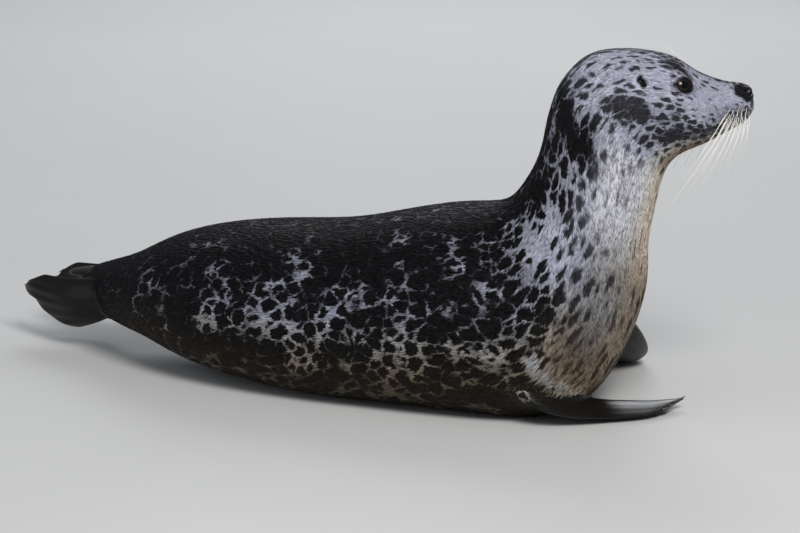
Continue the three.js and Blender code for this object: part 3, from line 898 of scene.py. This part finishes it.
def faceMarks(straight, lips):
    # bare skin on the nose, lips, lids, nostrils and ears, and what is black: the same, the follicles,
    # the bridge of the nose and a line up from the eye; in the nostrils, ear openings and mouth crease the
    # black is deepened by painted shade
    s, w, z = straight[:, 0], np.abs(straight[:, 1]), straight[:, 2]
    nosePad = smooth(np.hypot((s - 490) / 25, np.hypot(w / 38, (z - 430) / 22)), 1.0, 0.78)
    lip = awayFrom(straight, mouthLine)
    bare = np.maximum(nosePad, np.exp(-((lip / 2.2) ** 2)))
    rim = 0.95 * nosePad * (1 - 0.35 * lips)
    for mirror in (-1, 1):
        a, b, height = eyeCoordinates(straight, mirror)
        ahead = (height > -26) & (np.hypot(a, b) < 44)
        share = openingShare(a, b)
        bare = np.maximum(bare, np.where(ahead, smooth(share, 1.24, 1.06), 0.0))
        ring = smooth(share, 1.62, 1.15)
        stripe = 0.9 * bump(a + 0.7 * b, 17, 8) * smooth(b, 3, 9) * smooth(b, 48, 28)
        rim = np.maximum(rim, np.where(ahead, np.maximum(ring, stripe), 0.0))
    # the walls of the nostrils and ears lie lower and further back than their openings
    inNostril = np.minimum(nostrilAway(straight), awayFrom(straight + (4, 0, 4.5), nostril["line"]))
    inEar = np.minimum(earAway(straight), earAway(straight + (1, 0, 3)))
    bare = np.maximum(bare, np.maximum(smooth(inNostril, 6.5, 4), smooth(inEar, 5, 3.6)))
    darks = [
        # painted shade: black deepened in the nostrils, the ear openings and the crease of the mouth
        smooth(inNostril, 9.5, 6),
        smooth(inEar, 4.6, 3),
        0.9 * np.exp(-((lip / 2.6) ** 2)),
        0.9 * follicleShare(straight, 2.1),
        0.85 * blob(straight, (458, 38, 416), (29, 26, 13)),  # whisker pad
        bump(w, 0, 8) * smooth(s, 372, 405) * smooth(z, 440, 452) * 0.72,  # bridge of the nose
    ]
    for dark in darks:
        rim = np.maximum(rim, dark)
    return bare, rim


def markings(way, straight):
    # what colours the coat: tones are paleness, dark and pale shade; marks are bare; black, some of it
    # painted shade in hollows; and warm, partly painted light
    t, angle, part = way[:, 0], way[:, 1], np.round(way[:, 2])
    onBlade = part > 0
    onArm = onBlade & (part < 3)
    region = coatRegions(way, straight)
    pale = paleness(t, angle, region)
    shade = shadesAt(t, angle, region)
    warm = warmth(t, angle, region)
    bare, rim = faceMarks(straight, region["lips"])
    armRoot = np.where(onArm, smooth(t, 0.34, 0.1), 0.0)
    pale = np.where(onBlade, 0.95 * armRoot + paleLevels["flipper"], pale)
    pale = np.clip(pale, paleLevels["flipper"], 1)
    behindEar = bump(earAway(straight), 7.5, 2.2) * smooth(straight[:, 2], 474, 468)
    pale = pale + 0.4 * behindEar * (1 - onBlade)
    shade[onBlade] = shades["flipper"]
    warm = np.where(onArm, 0.7, np.where(onBlade, 0.1, warm))
    rim = np.where(onBlade, 0, rim)
    bare = np.where(onBlade, 0.45 + 0.5 * onArm * bump(angle, -0.15, 0.3), bare)
    return np.stack([pale, shade[:, 0], shade[:, 1]], -1), np.stack([bare, rim, warm], -1)


tones, marks = markings(way, straight)
for key in ("coat", "lie", "way"):
    skinMesh.attributes.remove(skinMesh.attributes[key])
setValues(skinMesh, "pattern", coat)
setValues(skinMesh, "tones", tones)
setValues(skinMesh, "marks", marks)


def addNode(tree, kind, inputs=None, **settings):
    node = tree.nodes.new("ShaderNode" + kind)
    for key, value in settings.items():
        setattr(node, key, value)
    for key, value in (inputs or {}).items():
        if isinstance(value, bpy.types.NodeSocket):
            tree.links.new(value, node.inputs[key])
        else:
            node.inputs[key].default_value = value
    return node


def calc(tree, operation, a, b=0.0, c=0.0, clamp=False):
    return addNode(tree, "Math", {0: a, 1: b, 2: c}, operation=operation, use_clamp=clamp).outputs[0]


def blendColour(tree, share, a, b):
    return addNode(tree, "Mix", {0: share, 6: a, 7: b}, data_type="RGBA").outputs[2]


def between(tree, value, low, high, toLow=0.0, toHigh=1.0):
    return addNode(tree, "MapRange", {"Value": value, "From Min": low, "From Max": high, "To Min": toLow,
                                      "To Max": toHigh}, interpolation_type="SMOOTHSTEP").outputs[0]


def noise(tree, vector, scale, detail, roughness=0.5):
    return addNode(tree, "TexNoise", {"Vector": vector, "Scale": scale, "Detail": detail,
                                      "Roughness": roughness})


def voronoi(tree, vector, scale, feature):
    return addNode(tree, "TexVoronoi", {"Vector": vector, "Scale": scale, "Randomness": 0.9},
                   feature=feature).outputs["Distance"]


def vectorCalc(tree, operation, a, b):
    key = "Scale" if operation == "SCALE" else 1
    return addNode(tree, "VectorMath", {0: a, key: b}, operation=operation).outputs[0]


def surfaceOf(material):
    material.use_nodes = True
    return material.node_tree, material.node_tree.nodes["Principled BSDF"]


def makeGroup(name, inputs, outputs):
    group = bpy.data.node_groups.new(name, "ShaderNodeTree")
    for direction, sockets in (("INPUT", inputs), ("OUTPUT", outputs)):
        for key, kind in sockets.items():
            group.interface.new_socket(key, in_out=direction, socket_type="NodeSocket" + kind)
    start = group.nodes.new("NodeGroupInput")
    end = group.nodes.new("NodeGroupOutput")
    return group, start.outputs, end.inputs


def rgb(r, g, b):
    return (r, g, b, 1)


# The first six are multiplied by the dark or pale shade of the place
coatHues = {
    # the warm hues are partly painted warm light from the ground, the cool ones partly painted sheen
    "dark": rgb(0.98, 0.98, 1.05),
    "darkWarm": rgb(1.3, 0.96, 0.62),
    "darkCool": rgb(0.85, 0.92, 1.35),
    "pale": rgb(0.98, 0.98, 1.0),
    "paleWarm": rgb(1.2, 0.96, 0.71),
    "paleCool": rgb(0.83, 0.86, 1.38),
    "rim": rgb(0.004, 0.004, 0.005),
}
# Sizes of the pattern, as counts to the metre of its space, and how strongly each breaks it up
coatPattern = {"spots": 52, "hair": 420, "locks": 150, "hairAcross": 0.13, "drift": 75, "driftBy": 0.015,
               "breaks": 48, "breaksBy": 0.75, "broad": 17, "broadBy": 0.7, "locksBy": 0.22}


def coatGroup():
    # cells with dark middles and pale edges: the paler the place, the wider the edges; drawn out,
    # feathered and lightened along the lie of the hair
    group, given, result = makeGroup(
        "sealCoat", {"Pattern": "Vector", "Tones": "Vector", "Marks": "Vector"},
        {"Color": "Color", "Roughness": "Float", "Wet": "Float", "Height": "Float"})
    pale, darkShade, paleShade = addNode(group, "SeparateXYZ", {0: given["Tones"]}).outputs
    bare, rim, warm = addNode(group, "SeparateXYZ", {0: given["Marks"]}).outputs
    space = given["Pattern"]
    drift = noise(group, space, coatPattern["drift"], 3, 0.6).outputs["Color"]
    drift = vectorCalc(group, "SUBTRACT", drift, (0.5, 0.5, 0.5))
    drifted = vectorCalc(group, "ADD", space, vectorCalc(group, "SCALE", drift, coatPattern["driftBy"]))
    along = vectorCalc(group, "MULTIPLY", space, (coatPattern["hairAcross"], 1, 1))
    hair = noise(group, along, coatPattern["hair"], 3, 0.6).outputs[0]
    lock = noise(group, along, coatPattern["locks"], 2).outputs[0]
    lockAway = calc(group, "SUBTRACT", lock, 0.5)
    cells = voronoi(group, drifted, coatPattern["spots"], "DISTANCE_TO_EDGE")
    middles = voronoi(group, drifted, coatPattern["spots"], "F1")
    breaks = noise(group, space, coatPattern["breaks"], 2).outputs[0]
    broad = noise(group, space, coatPattern["broad"], 2).outputs[0]
    level = calc(group, "MULTIPLY_ADD", calc(group, "SUBTRACT", broad, 0.5), coatPattern["broadBy"], pale)
    level = calc(group, "MULTIPLY_ADD", calc(group, "SUBTRACT", breaks, 0.5), coatPattern["breaksBy"], level)
    level = calc(group, "MAXIMUM", calc(group, "MULTIPLY_ADD", lockAway, coatPattern["locksBy"], level), 0.0)
    reach = calc(group, "MULTIPLY", calc(group, "POWER", level, 1.6), 0.5)
    # the pale web fills the corners between the dark spots, so that these are rounder
    corner = calc(group, "MAXIMUM", calc(group, "SUBTRACT", middles, 0.4), 0.0)
    corner = calc(group, "MULTIPLY", corner, calc(group, "MULTIPLY", level, -0.7))
    edge = calc(group, "ADD", calc(group, "ADD", cells, 0.02), corner)
    width = calc(group, "MULTIPLY_ADD", darkShade, 3.2, 0.035)
    share = calc(group, "DIVIDE", calc(group, "SUBTRACT", reach, edge), width)
    # where the dark is lighter, locks of pale hair run into it
    streaks = calc(group, "MULTIPLY", lockAway, calc(group, "MULTIPLY", darkShade, 30.0))
    share = between(group, calc(group, "ADD", share, streaks), -1.0, 1.0)
    fine = between(group, hair, 0.3, 0.7)
    share = calc(group, "MULTIPLY", share, calc(group, "MULTIPLY_ADD", fine, 0.5, 0.62), clamp=True)
    share = calc(group, "MULTIPLY", share, between(group, level, 0.0, 0.4))
    cool = calc(group, "MULTIPLY", warm, -1.0)
    dark = blendColour(group, warm, coatHues["dark"], coatHues["darkWarm"])
    dark = blendColour(group, cool, dark, coatHues["darkCool"])
    dark = vectorCalc(group, "SCALE", dark, darkShade)
    palest = blendColour(group, warm, coatHues["pale"], coatHues["paleWarm"])
    palest = blendColour(group, cool, palest, coatHues["paleCool"])
    palest = vectorCalc(group, "SCALE", palest, paleShade)
    fleck = calc(group, "MULTIPLY", between(group, hair, 0.55, 0.8), calc(group, "MULTIPLY", pale, 0.12))
    colour = blendColour(group, calc(group, "MAXIMUM", share, fleck), dark, palest)
    # black marks, with painted shade in the nostrils, ear openings and mouth crease
    colour = blendColour(group, rim, colour, coatHues["rim"])
    group.links.new(colour, result["Color"])
    rough = calc(group, "MULTIPLY_ADD", hair, 0.2, 0.44)
    rough = calc(group, "MULTIPLY_ADD", bare, -0.26, rough, clamp=True)
    group.links.new(rough, result["Roughness"])
    group.links.new(calc(group, "MULTIPLY", bare, 0.5), result["Wet"])
    height = calc(group, "ADD", calc(group, "MULTIPLY", hair, 0.6), calc(group, "MULTIPLY", lock, 0.5))
    height = calc(group, "MULTIPLY", height, calc(group, "MULTIPLY_ADD", bare, -0.75, 1.0))
    group.links.new(height, result["Height"])
    return group


coatShader = coatGroup()


def furMaterial(name, bumpDepth):
    material = bpy.data.materials.new(name)
    tree, surface = surfaceOf(material)
    group = tree.nodes.new("ShaderNodeGroup")
    group.node_tree = coatShader
    for key, attribute in (("Pattern", "pattern"), ("Tones", "tones"), ("Marks", "marks")):
        source = addNode(tree, "Attribute", attribute_name=attribute)
        tree.links.new(source.outputs["Vector"], group.inputs[key])
    tree.links.new(group.outputs["Color"], surface.inputs["Base Color"])
    tree.links.new(group.outputs["Roughness"], surface.inputs["Roughness"])
    raised = addNode(tree, "Bump", {"Height": group.outputs["Height"], "Distance": bumpDepth})
    raised.inputs["Strength"].default_value = 1.0
    tree.links.new(raised.outputs["Normal"], surface.inputs["Normal"])
    tree.links.new(group.outputs["Wet"], surface.inputs["Coat Weight"])
    surface.inputs["Coat Roughness"].default_value = 0.27
    surface.inputs["Specular IOR Level"].default_value = 0.1
    return material


skinMesh.materials.clear()
skinMesh.materials.append(furMaterial("sealSkin", 0.0006))
print("skin painted")


# Size of the tufts by section of the body, in millimetres, and on the flippers; coverage is how many
# layers of them lie over each other, patch how wide each is on the unrolled skin, follow how closely its
# colours keep to those under it, and piece the most tufts in one mesh
tufts = {"section": (0, 4, 10, 14, 16, 18, 21, 23, 25), "length": (8, 11.5, 12, 11, 9, 6.5, 5, 3.6, 2.2),
         "width": (1.4, 1.9, 2, 1.8, 1.5, 1.2, 1, 0.8, 0.7), "bladeLength": 5, "bladeWidth": 0.9,
         "bladeCoverage": 0.5, "coverage": 0.95, "thick": 0.2, "lift": 0.036, "patch": 0.003,
         "follow": 0.8, "piece": 19500}


def skinTriangles(mesh):
    mesh.calc_loop_triangles()
    count = len(mesh.loop_triangles)
    corners = np.zeros(count * 3, np.int32)
    loops = np.zeros(count * 3, np.int32)
    mesh.loop_triangles.foreach_get("vertices", corners)
    mesh.loop_triangles.foreach_get("loops", loops)
    return corners.reshape(-1, 3), loops.reshape(-1, 3)


def vertexNormals(mesh):
    normals = np.zeros(len(mesh.vertices) * 3, np.float32)
    mesh.vertices.foreach_get("normal", normals)
    return normals.reshape(-1, 3).astype(float)


def tuftRoots():
    # random places on the skin, closer where tufts are small, none on bare skin or under the belly
    corners, loops = skinTriangles(skinMesh)
    normals = vertexNormals(skinMesh)
    a, b, c = (skinPoints[corners[:, k]] for k in range(3))
    face = np.cross(b - a, c - a)
    area = np.linalg.norm(face, axis=1) / 2
    face = unit(face)
    part = np.round(way[corners[:, 0], 2])
    section = way[corners].mean(1)[:, 0]
    onBlade = part > 0
    length = np.interp(section, tufts["section"], tufts["length"])
    length = np.where(onBlade, tufts["bladeLength"], length) * mm
    width = np.interp(section, tufts["section"], tufts["width"])
    width = np.where(onBlade, tufts["bladeWidth"], width) * mm
    middle = (a + b + c) / 3
    bare = marks[corners].max(1)[:, 0] > np.where(onBlade, 0.6, 0.25)
    under = (middle[:, 2] < 1.5 * mm) | ((middle[:, 2] < 8 * mm) & (face[:, 2] < -0.7))
    inner = np.zeros(len(face), bool)
    spots = straight[corners].mean(1)
    for mirror in (-1, 1):
        x, y, height = eyeCoordinates(spots, mirror)
        inner |= (height > 0) & (np.hypot(x, y) < 26) & (openingShare(x, y) < 1.75) & (height < 11.8)
    onArm = tufts["bladeCoverage"] * smooth(section, 0.42, 0.12) * (part < 3)
    coverage = np.where(onBlade, onArm, tufts["coverage"])
    wanted = np.where(bare | under | inner, 0, area / (length * width * 0.6) * coverage)
    total = np.concatenate([[0], np.cumsum(wanted)])
    count = int(total[-1])
    picks = np.searchsorted(total, random.random(count) * total[-1], side="right") - 1
    first, second = random.random(count), random.random(count)
    flip = first + second > 1
    first, second = np.where(flip, 1 - first, first), np.where(flip, 1 - second, second)
    shares = np.stack([1 - first - second, first, second], -1)

    def mixed(values):
        return (values[corners[picks]] * shares[..., None]).sum(1)

    uv = getValues(skinMesh, "OFBake", 2)
    direction = mixed(lie)
    bend = (alongHair(corners[picks], normals, direction) * direction).sum(1)
    return {"point": mixed(skinPoints), "normal": unit(mixed(normals)), "lie": direction,
            "pattern": mixed(coat), "patternStep": alongHair(corners[picks], coat, direction),
            "curl": np.clip(bend, -40, 25), "tones": mixed(tones), "marks": mixed(marks),
            "way": mixed(way), "part": part[picks], "length": length[picks], "width": width[picks],
            "uv": (uv[loops[picks]] * shares[..., None]).sum(1)}


def alongHair(corners, values, direction):
    # how fast values of the skin's vertices change along the hair: their slope in each triangle
    p, v = skinPoints[corners], values[corners]
    first, second = p[:, 1] - p[:, 0], p[:, 2] - p[:, 0]
    aa, ab, bb = (first * first).sum(1), (first * second).sum(1), (second * second).sum(1)
    da, db = (direction * first).sum(1), (direction * second).sum(1)
    scale = np.maximum(aa * bb - ab * ab, 1e-20)
    shareA, shareB = (da * bb - db * ab) / scale, (db * aa - da * ab) / scale
    return shareA[:, None] * (v[:, 1] - v[:, 0]) + shareB[:, None] * (v[:, 2] - v[:, 0])


def tuftMesh(name, roots, chosen):
    # each tuft is a three-sided blade: base, middle and tip on a line that follows the skin's bend
    # and rises a little from it
    point, normal = roots["point"][chosen], roots["normal"][chosen]
    length, width = roots["length"][chosen], roots["width"][chosen]
    count = len(chosen)
    length = length * random.uniform(0.75, 1.25, count)
    direction = roots["lie"][chosen]
    direction = unit(direction - (direction * normal).sum(1, keepdims=True) * normal)
    side = np.cross(normal, direction)
    sway = random.normal(0, 0.1, count)[:, None]
    direction = unit(direction + side * sway)
    side = np.cross(normal, direction)
    curl = roots["curl"][chosen]
    lift = tufts["lift"] * length * random.uniform(0.5, 1.3, count)
    thick = tufts["thick"] * mm
    rings = []
    for share, breadth, raised in ((0.0, 0.7, -0.25 * mm), (0.5, 1.0, 0.16 * mm)):
        along = share * length
        height = raised + lift * share - curl * along**2 / 2
        middle = point + direction * along[:, None] + normal * height[:, None]
        reach = side * (width * breadth / 2)[:, None]
        rings.append([middle - reach, middle + reach, middle + normal * thick])
    height = lift - curl * length**2 / 2
    tip = point + direction * length[:, None] + normal * height[:, None]
    points = np.stack(rings[0] + rings[1] + [tip], 1)
    points[..., 2] = np.maximum(points[..., 2], 0.2 * mm)
    sides = np.array([(0, 1, 4), (0, 4, 3), (1, 2, 5), (1, 5, 4), (2, 0, 3), (2, 3, 5),
                      (3, 4, 6), (4, 5, 6), (5, 3, 6), (0, 2, 1)])
    faces = (np.arange(count) * 7)[:, None, None] + sides
    places = np.array([(0.1, 0), (0.9, 0), (0.5, 0), (0.1, 0.5), (0.9, 0.5), (0.5, 0.5), (0.5, 1)]) - 0.5
    uv = roots["uv"][chosen][:, None] + places * tufts["patch"]
    mesh = meshOf(name, points.reshape(-1, 3), [faces.reshape(-1, 3)])
    setValues(mesh, "OFBake", uv.reshape(-1, 2)[faces.ravel()], "CORNER")
    for key in ("tones", "marks"):
        setValues(mesh, key, np.repeat(roots[key][chosen], 7, axis=0))
    # the pattern moves on along each tuft, so that its colours follow those of the skin under it
    step = np.clip(roots["patternStep"][chosen], -3, 3) * (length * tufts["follow"])[:, None]
    outwards = np.array([0, 0, 0, 0.5, 0.5, 0.5, 1])[:, None]
    pattern = roots["pattern"][chosen][:, None] + step[:, None] * outwards
    setValues(mesh, "pattern", pattern.reshape(-1, 3))
    return mesh


def makeCoat():
    roots = tuftRoots()
    print(f"coat: {len(roots['point'])} tufts")
    section, part = roots["way"][:, 0], roots["part"]
    onBody = part == 0
    regions = {"rump": onBody & (section < 4.4), "loin": onBody & (section >= 4.4) & (section < 6.8),
               "ribs": onBody & (section >= 6.8) & (section < 9.4),
               "chest": onBody & (section >= 9.4) & (section < 14.2),
               "neck": onBody & (section >= 14.2) & (section < 18.4),
               "face": onBody & (section >= 18.4), "flippers": ~onBody}
    pieces = []
    for region, inside in regions.items():
        chosen = np.where(inside)[0]
        for number, share in enumerate(np.array_split(chosen, len(chosen) // tufts["piece"] + 1)):
            name = f"coat_{region}_{number + 1}"
            pieces.append(link(name, tuftMesh(name, roots, share), furLook))
        print(f"coat {region}: {len(chosen)} tufts")
    return pieces


furLook = furMaterial("sealFur", 0.0002)
furPieces = makeCoat()


def makeEye(name, mirror):
    # a ball with a slightly raised cornea; its own attribute is the angle from the gaze
    centre, gaze, forward, upward = eyeFrame(mirror)
    tilt = np.linspace(0, math.pi, 40)[1:-1]
    turn = np.linspace(0, 2 * math.pi, 64, endpoint=False)
    tilts, turns = np.meshgrid(tilt, turn, indexing="ij")

    def ballPoint(tilts, turns):
        radius = eyeball["radius"] * (1 + 0.02 * np.exp(-((tilts / 0.6) ** 4)) - 0.02)
        flat = np.cos(turns)[..., None] * forward + np.sin(turns)[..., None] * upward
        out = np.cos(tilts)[..., None] * gaze + np.sin(tilts)[..., None] * flat
        return centre + radius[..., None] * out

    grid = place(ballPoint(tilts, turns))
    if mirror < 0:
        grid = grid[:, ::-1]
    ends = [place(ballPoint(np.array([tilt]), np.zeros(1)))[0] for tilt in (0.0, math.pi)]
    points, faces = lidded(grid, ends[0], ends[1])[:2]
    mesh = meshOf(name, points, [face[:, ::-1] for face in faces])
    away = unit(points - points.mean(0))
    facing = unit(place((centre + gaze)[None])[0] - place(centre[None])[0])
    setValues(mesh, "fromGaze", np.degrees(np.arccos(np.clip(away @ facing, -1, 1))))
    return link(name, mesh)


def eyeMaterial():
    # black pupil, dark brown iris with fine rays, darker towards the white of the eye, all wet
    material = bpy.data.materials.new("wetEye")
    tree, surface = surfaceOf(material)
    angle = addNode(tree, "Attribute", attribute_name="fromGaze").outputs["Fac"]
    position = addNode(tree, "TexCoord").outputs["Object"]
    rays = noise(tree, position, 900, 2).outputs[0]
    iris = blendColour(tree, rays, rgb(0.01, 0.005, 0.005), rgb(0.035, 0.017, 0.015))
    colour = blendColour(tree, between(tree, angle, 22, 26), rgb(0.001, 0.001, 0.0015), iris)
    colour = blendColour(tree, between(tree, angle, 44, 50), colour, rgb(0.012, 0.008, 0.007))
    tree.links.new(colour, surface.inputs["Base Color"])
    surface.inputs["Roughness"].default_value = 0.07
    surface.inputs["Specular IOR Level"].default_value = 0.3
    return material


wetEye = eyeMaterial()
eyePieces = {}
for side, mirror in (("right", -1), ("left", 1)):
    eyePieces[side] = makeEye(f"eyeball_{side}", mirror)
    eyePieces[side].data.materials.append(wetEye)
print("eyes made")


# bite is how far along the flipper each claw's root sits
claws = {"fore": {"length": 17, "radius": 2.5, "curl": 4, "bite": 0.93},
         "hind": {"length": 11, "radius": 1.8, "curl": 2, "bite": 0.95}}


def makeClaws(name):
    # round sections, narrowing to a blunt point, on a curve that leaves the digit and curls down
    blade = blades[name]
    claw = claws[blade["claw"]]
    x = np.array(digitPlaces)
    turn = np.arccos(x)

    def middle(v):
        return (bladePoint(blade, v, turn) + bladePoint(blade, v, -turn)) / 2

    flat = np.full(5, claw["bite"])
    root = middle(flat)
    below = bladePoint(blade, flat, -turn)
    posed = blade["put"]
    root, below, behind = (posed(p) / mm for p in (root, below, middle(flat - 0.1)))
    ahead, down = unit(root - behind), unit(below - root)
    across = np.cross(ahead, down)
    v = np.linspace(0, 1, 14)[:-1]
    angle = np.linspace(0, 2 * math.pi, 12, endpoint=False)
    allPoints, allFaces, start = [], [], 0
    for k in range(5):
        line = root[k] + np.outer(v * claw["length"], ahead[k]) + np.outer(claw["curl"] * v * v, down[k])
        radius = claw["radius"] * np.sqrt(1 - v) * (1 - 0.35 * v)
        ring = np.cos(angle)[:, None] * across[k] * 0.85 + np.sin(angle)[:, None] * down[k]
        grid = line[:, None] + radius[:, None, None] * ring[None]
        tip = root[k] + ahead[k] * claw["length"] + down[k] * claw["curl"]
        grid[..., 2] = np.maximum(grid[..., 2], 0)
        tip[2] = max(tip[2], 0.3)
        points, faces = lidded(grid * mm, (root[k] - ahead[k] * claw["radius"]) * mm, tip * mm)[:2]
        allPoints.append(points)
        allFaces += [face + start for face in faces]
        start += len(points)
    quads = np.concatenate([face for face in allFaces if face.shape[1] == 4])
    fans = np.concatenate([face for face in allFaces if face.shape[1] == 3])
    return meshOf(f"claws_{blade['node']}", np.concatenate(allPoints), [quads, fans])


def clawMaterial():
    # dark horn with paler streaks
    material = bpy.data.materials.new("clawHorn")
    tree, surface = surfaceOf(material)
    position = addNode(tree, "TexCoord").outputs["Object"]
    grain = noise(tree, position, 400, 2).outputs[0]
    colour = blendColour(tree, grain, rgb(0.012, 0.01, 0.009), rgb(0.05, 0.04, 0.033))
    tree.links.new(colour, surface.inputs["Base Color"])
    surface.inputs["Roughness"].default_value = 0.32
    return material


clawHorn = clawMaterial()
clawPieces = {}
for name, blade in blades.items():
    if blade["claw"]:
        mesh = makeClaws(name)
        clawPieces[blade["node"]] = link(mesh.name, mesh, clawHorn)
print("claws made")


# s, height and length of the long hairs over each eye
browWhiskers = [(389, 492, 48), (383, 492, 30), (395, 488, 32), (400, 484, 16)]


def onFace(s, z, mirror):
    # place of the skin at a given s and z on one side of the head
    grid = body["plain"].reshape(-1, 3)
    grid = grid[(grid[:, 1] * mirror > 0) & (grid[:, 0] > 330)]
    away = np.hypot(grid[:, 0] - s, grid[:, 2] - z) - 0.05 * np.abs(grid[:, 1])
    return grid[np.argmin(away)]


def whiskerMesh(name, lines, radii):
    # six-sided tapering tubes with a slight beading along each line
    v = np.linspace(0, 1, lines.shape[1])
    angle = np.linspace(0, 2 * math.pi, 6, endpoint=False)
    ahead = unit(np.gradient(lines, axis=1))
    side = unit(np.cross(ahead, np.array([0.3, 0.2, 1.0])))
    up = np.cross(side, ahead)
    taper = (1 - 0.7 * v) * (1 + 0.1 * np.sin(v * 60))
    radius = radii[:, None] * taper
    ring = np.cos(angle)[:, None, None, None] * side + np.sin(angle)[:, None, None, None] * up
    grids = np.moveaxis(lines + radius[None, ..., None] * ring, 0, 2)
    points, quads, fans, start = [], [], [], 0
    for grid, line in zip(grids, lines):
        some, faces = lidded(grid, line[0], line[-1])[:2]
        points.append(some)
        quads.append(faces[0] + start)
        fans += [face + start for face in faces[1:]]
        start += len(some)
    return meshOf(name, np.concatenate(points), [np.concatenate(quads), np.concatenate(fans)])


def makeWhiskers(side, mirror):
    # each leaves the pad outwards, then sweeps down and a little back under its own weight
    v = np.linspace(0, 1, 12)
    lines, radii = [], []
    for height, first, last, count, longest in whiskerRows:
        for k, s in enumerate(np.linspace(first, last, count)):
            share = k / (count - 1)
            root = onFace(s, height, mirror)
            length = longest * (1.05 - 0.5 * share) * random.uniform(0.8, 1.1)
            out = (0.34 - 0.08 * share) * (1 - (1 - v) ** 2) * mirror
            back = (0.26 - 0.3 * share) * v + (0.3 - 0.1 * share) * v * v
            fall = 0.3 * v + 0.52 * v * v
            lines.append(root + length * np.stack([-back, out, -fall], -1))
            radii.append(0.36 + 0.0026 * length)
    for s, height, length in browWhiskers:
        root = onFace(s, height, mirror)
        rise = np.stack([-0.35 * v - 0.35 * v * v, 0.25 * v * mirror, 0.8 * v - 0.25 * v * v], -1)
        lines.append(root + length * rise)
        radii.append(0.34)
    return whiskerMesh(f"whiskers_{side}", place(np.array(lines)), np.array(radii) * mm)


def whiskerMaterial():
    # pale horn, warmer and darker in slow waves
    material = bpy.data.materials.new("whiskerHorn")
    tree, surface = surfaceOf(material)
    position = addNode(tree, "TexCoord").outputs["Object"]
    waves = noise(tree, position, 90, 1).outputs[0]
    colour = blendColour(tree, waves, rgb(0.75, 0.72, 0.64), rgb(0.95, 0.94, 0.9))
    tree.links.new(colour, surface.inputs["Base Color"])
    surface.inputs["Roughness"].default_value = 0.35
    return material


whiskerHorn = whiskerMaterial()
whiskerPieces = []
for side, mirror in (("right", -1), ("left", 1)):
    mesh = makeWhiskers(side, mirror)
    whiskerPieces.append(link(mesh.name, mesh, whiskerHorn))
print("whiskers made")


cameraPlan = {"azimuth": 22.5, "elevation": 14, "distance": 6.0, "frameWidth": 1.12, "rise": 0.1701}


def addCamera():
    azimuth, elevation = math.radians(cameraPlan["azimuth"]), math.radians(cameraPlan["elevation"])
    right = Vector((math.cos(azimuth), math.sin(azimuth), 0))
    ahead = Vector((-math.sin(azimuth) * math.cos(elevation), math.cos(azimuth) * math.cos(elevation),
                    -math.sin(elevation)))
    up = right.cross(ahead)
    origin = Vector(frameShift * mm)
    spot = origin + up * cameraPlan["rise"] - ahead * cameraPlan["distance"]
    lens = bpy.data.cameras.new("camera")
    lens.sensor_width = 36
    lens.lens = 36 * cameraPlan["distance"] / cameraPlan["frameWidth"]
    lens.clip_end = 100
    camera = bpy.data.objects.new("camera", lens)
    bpy.context.scene.collection.objects.link(camera)
    turn = Matrix((right, up, -ahead)).transposed().to_4x4()
    camera.matrix_world = Matrix.Translation(spot) @ turn
    bpy.context.scene.camera = camera


addCamera()


def addLamp(name, spot, target, size, power, colour):
    light = bpy.data.lights.new(name, "AREA")
    light.size = size
    light.energy = power
    light.color = colour
    lamp = bpy.data.objects.new(name, light)
    bpy.context.scene.collection.objects.link(lamp)
    lamp.location = spot
    lamp.rotation_euler = (Vector(target) - Vector(spot)).to_track_quat("-Z", "Y").to_euler()


addLamp("key", (2.3, -2.6, 3.3), (0.25, 0, 0.2), 1.6, 175, (1, 0.985, 0.96))
addLamp("fill", (-2.8, -2.4, 1.8), (0, 0, 0.2), 3, 22, (0.92, 0.95, 1))
addLamp("back", (-1.0, 3.0, 2.4), (0, 0, 0.2), 2, 60, (0.95, 0.97, 1))

world = bpy.data.worlds.new("studio")
bpy.context.scene.world = world
world.use_nodes = True
world.node_tree.nodes["Background"].inputs["Color"].default_value = (0.8, 0.84, 0.9, 1)
world.node_tree.nodes["Background"].inputs["Strength"].default_value = 0.27
bpy.context.scene.view_settings.view_transform = "Standard"

floorMesh = meshOf("floor", np.array([(-20, -20, 0), (20, -20, 0), (20, 20, 0), (-20, 20, 0)], float),
                   [np.array([[0, 1, 2, 3]])])


def floorMaterial():
    # pale matt paper with a very slight grain
    material = bpy.data.materials.new("studioPaper")
    tree, surface = surfaceOf(material)
    position = addNode(tree, "TexCoord").outputs["Object"]
    grain = noise(tree, position, 2.5, 4).outputs[0]
    tree.links.new(blendColour(tree, grain, rgb(0.56, 0.56, 0.56), rgb(0.6, 0.6, 0.597)),
                   surface.inputs["Base Color"])
    surface.inputs["Roughness"].default_value = 0.9
    surface.inputs["Specular IOR Level"].default_value = 0.1
    return material


floor = link("floor", floorMesh, floorMaterial())
print("studio set")

fleshNodes = ["head", "neck", "shoulders", "trunk", "rump", "tail", "nose", "fore_flipper_right",
              "fore_flipper_left", "hind_flipper_right", "hind_flipper_left"]
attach(skin, "root")
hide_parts(*fleshNodes)
for piece in furPieces + whiskerPieces:
    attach(piece, "root")
for side, piece in eyePieces.items():
    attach(piece, "root")
    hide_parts(f"eye_{side}")
for name, piece in clawPieces.items():
    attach(piece, "root")
    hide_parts(*[f"claw_{name}_{number}" for number in range(1, 6)])
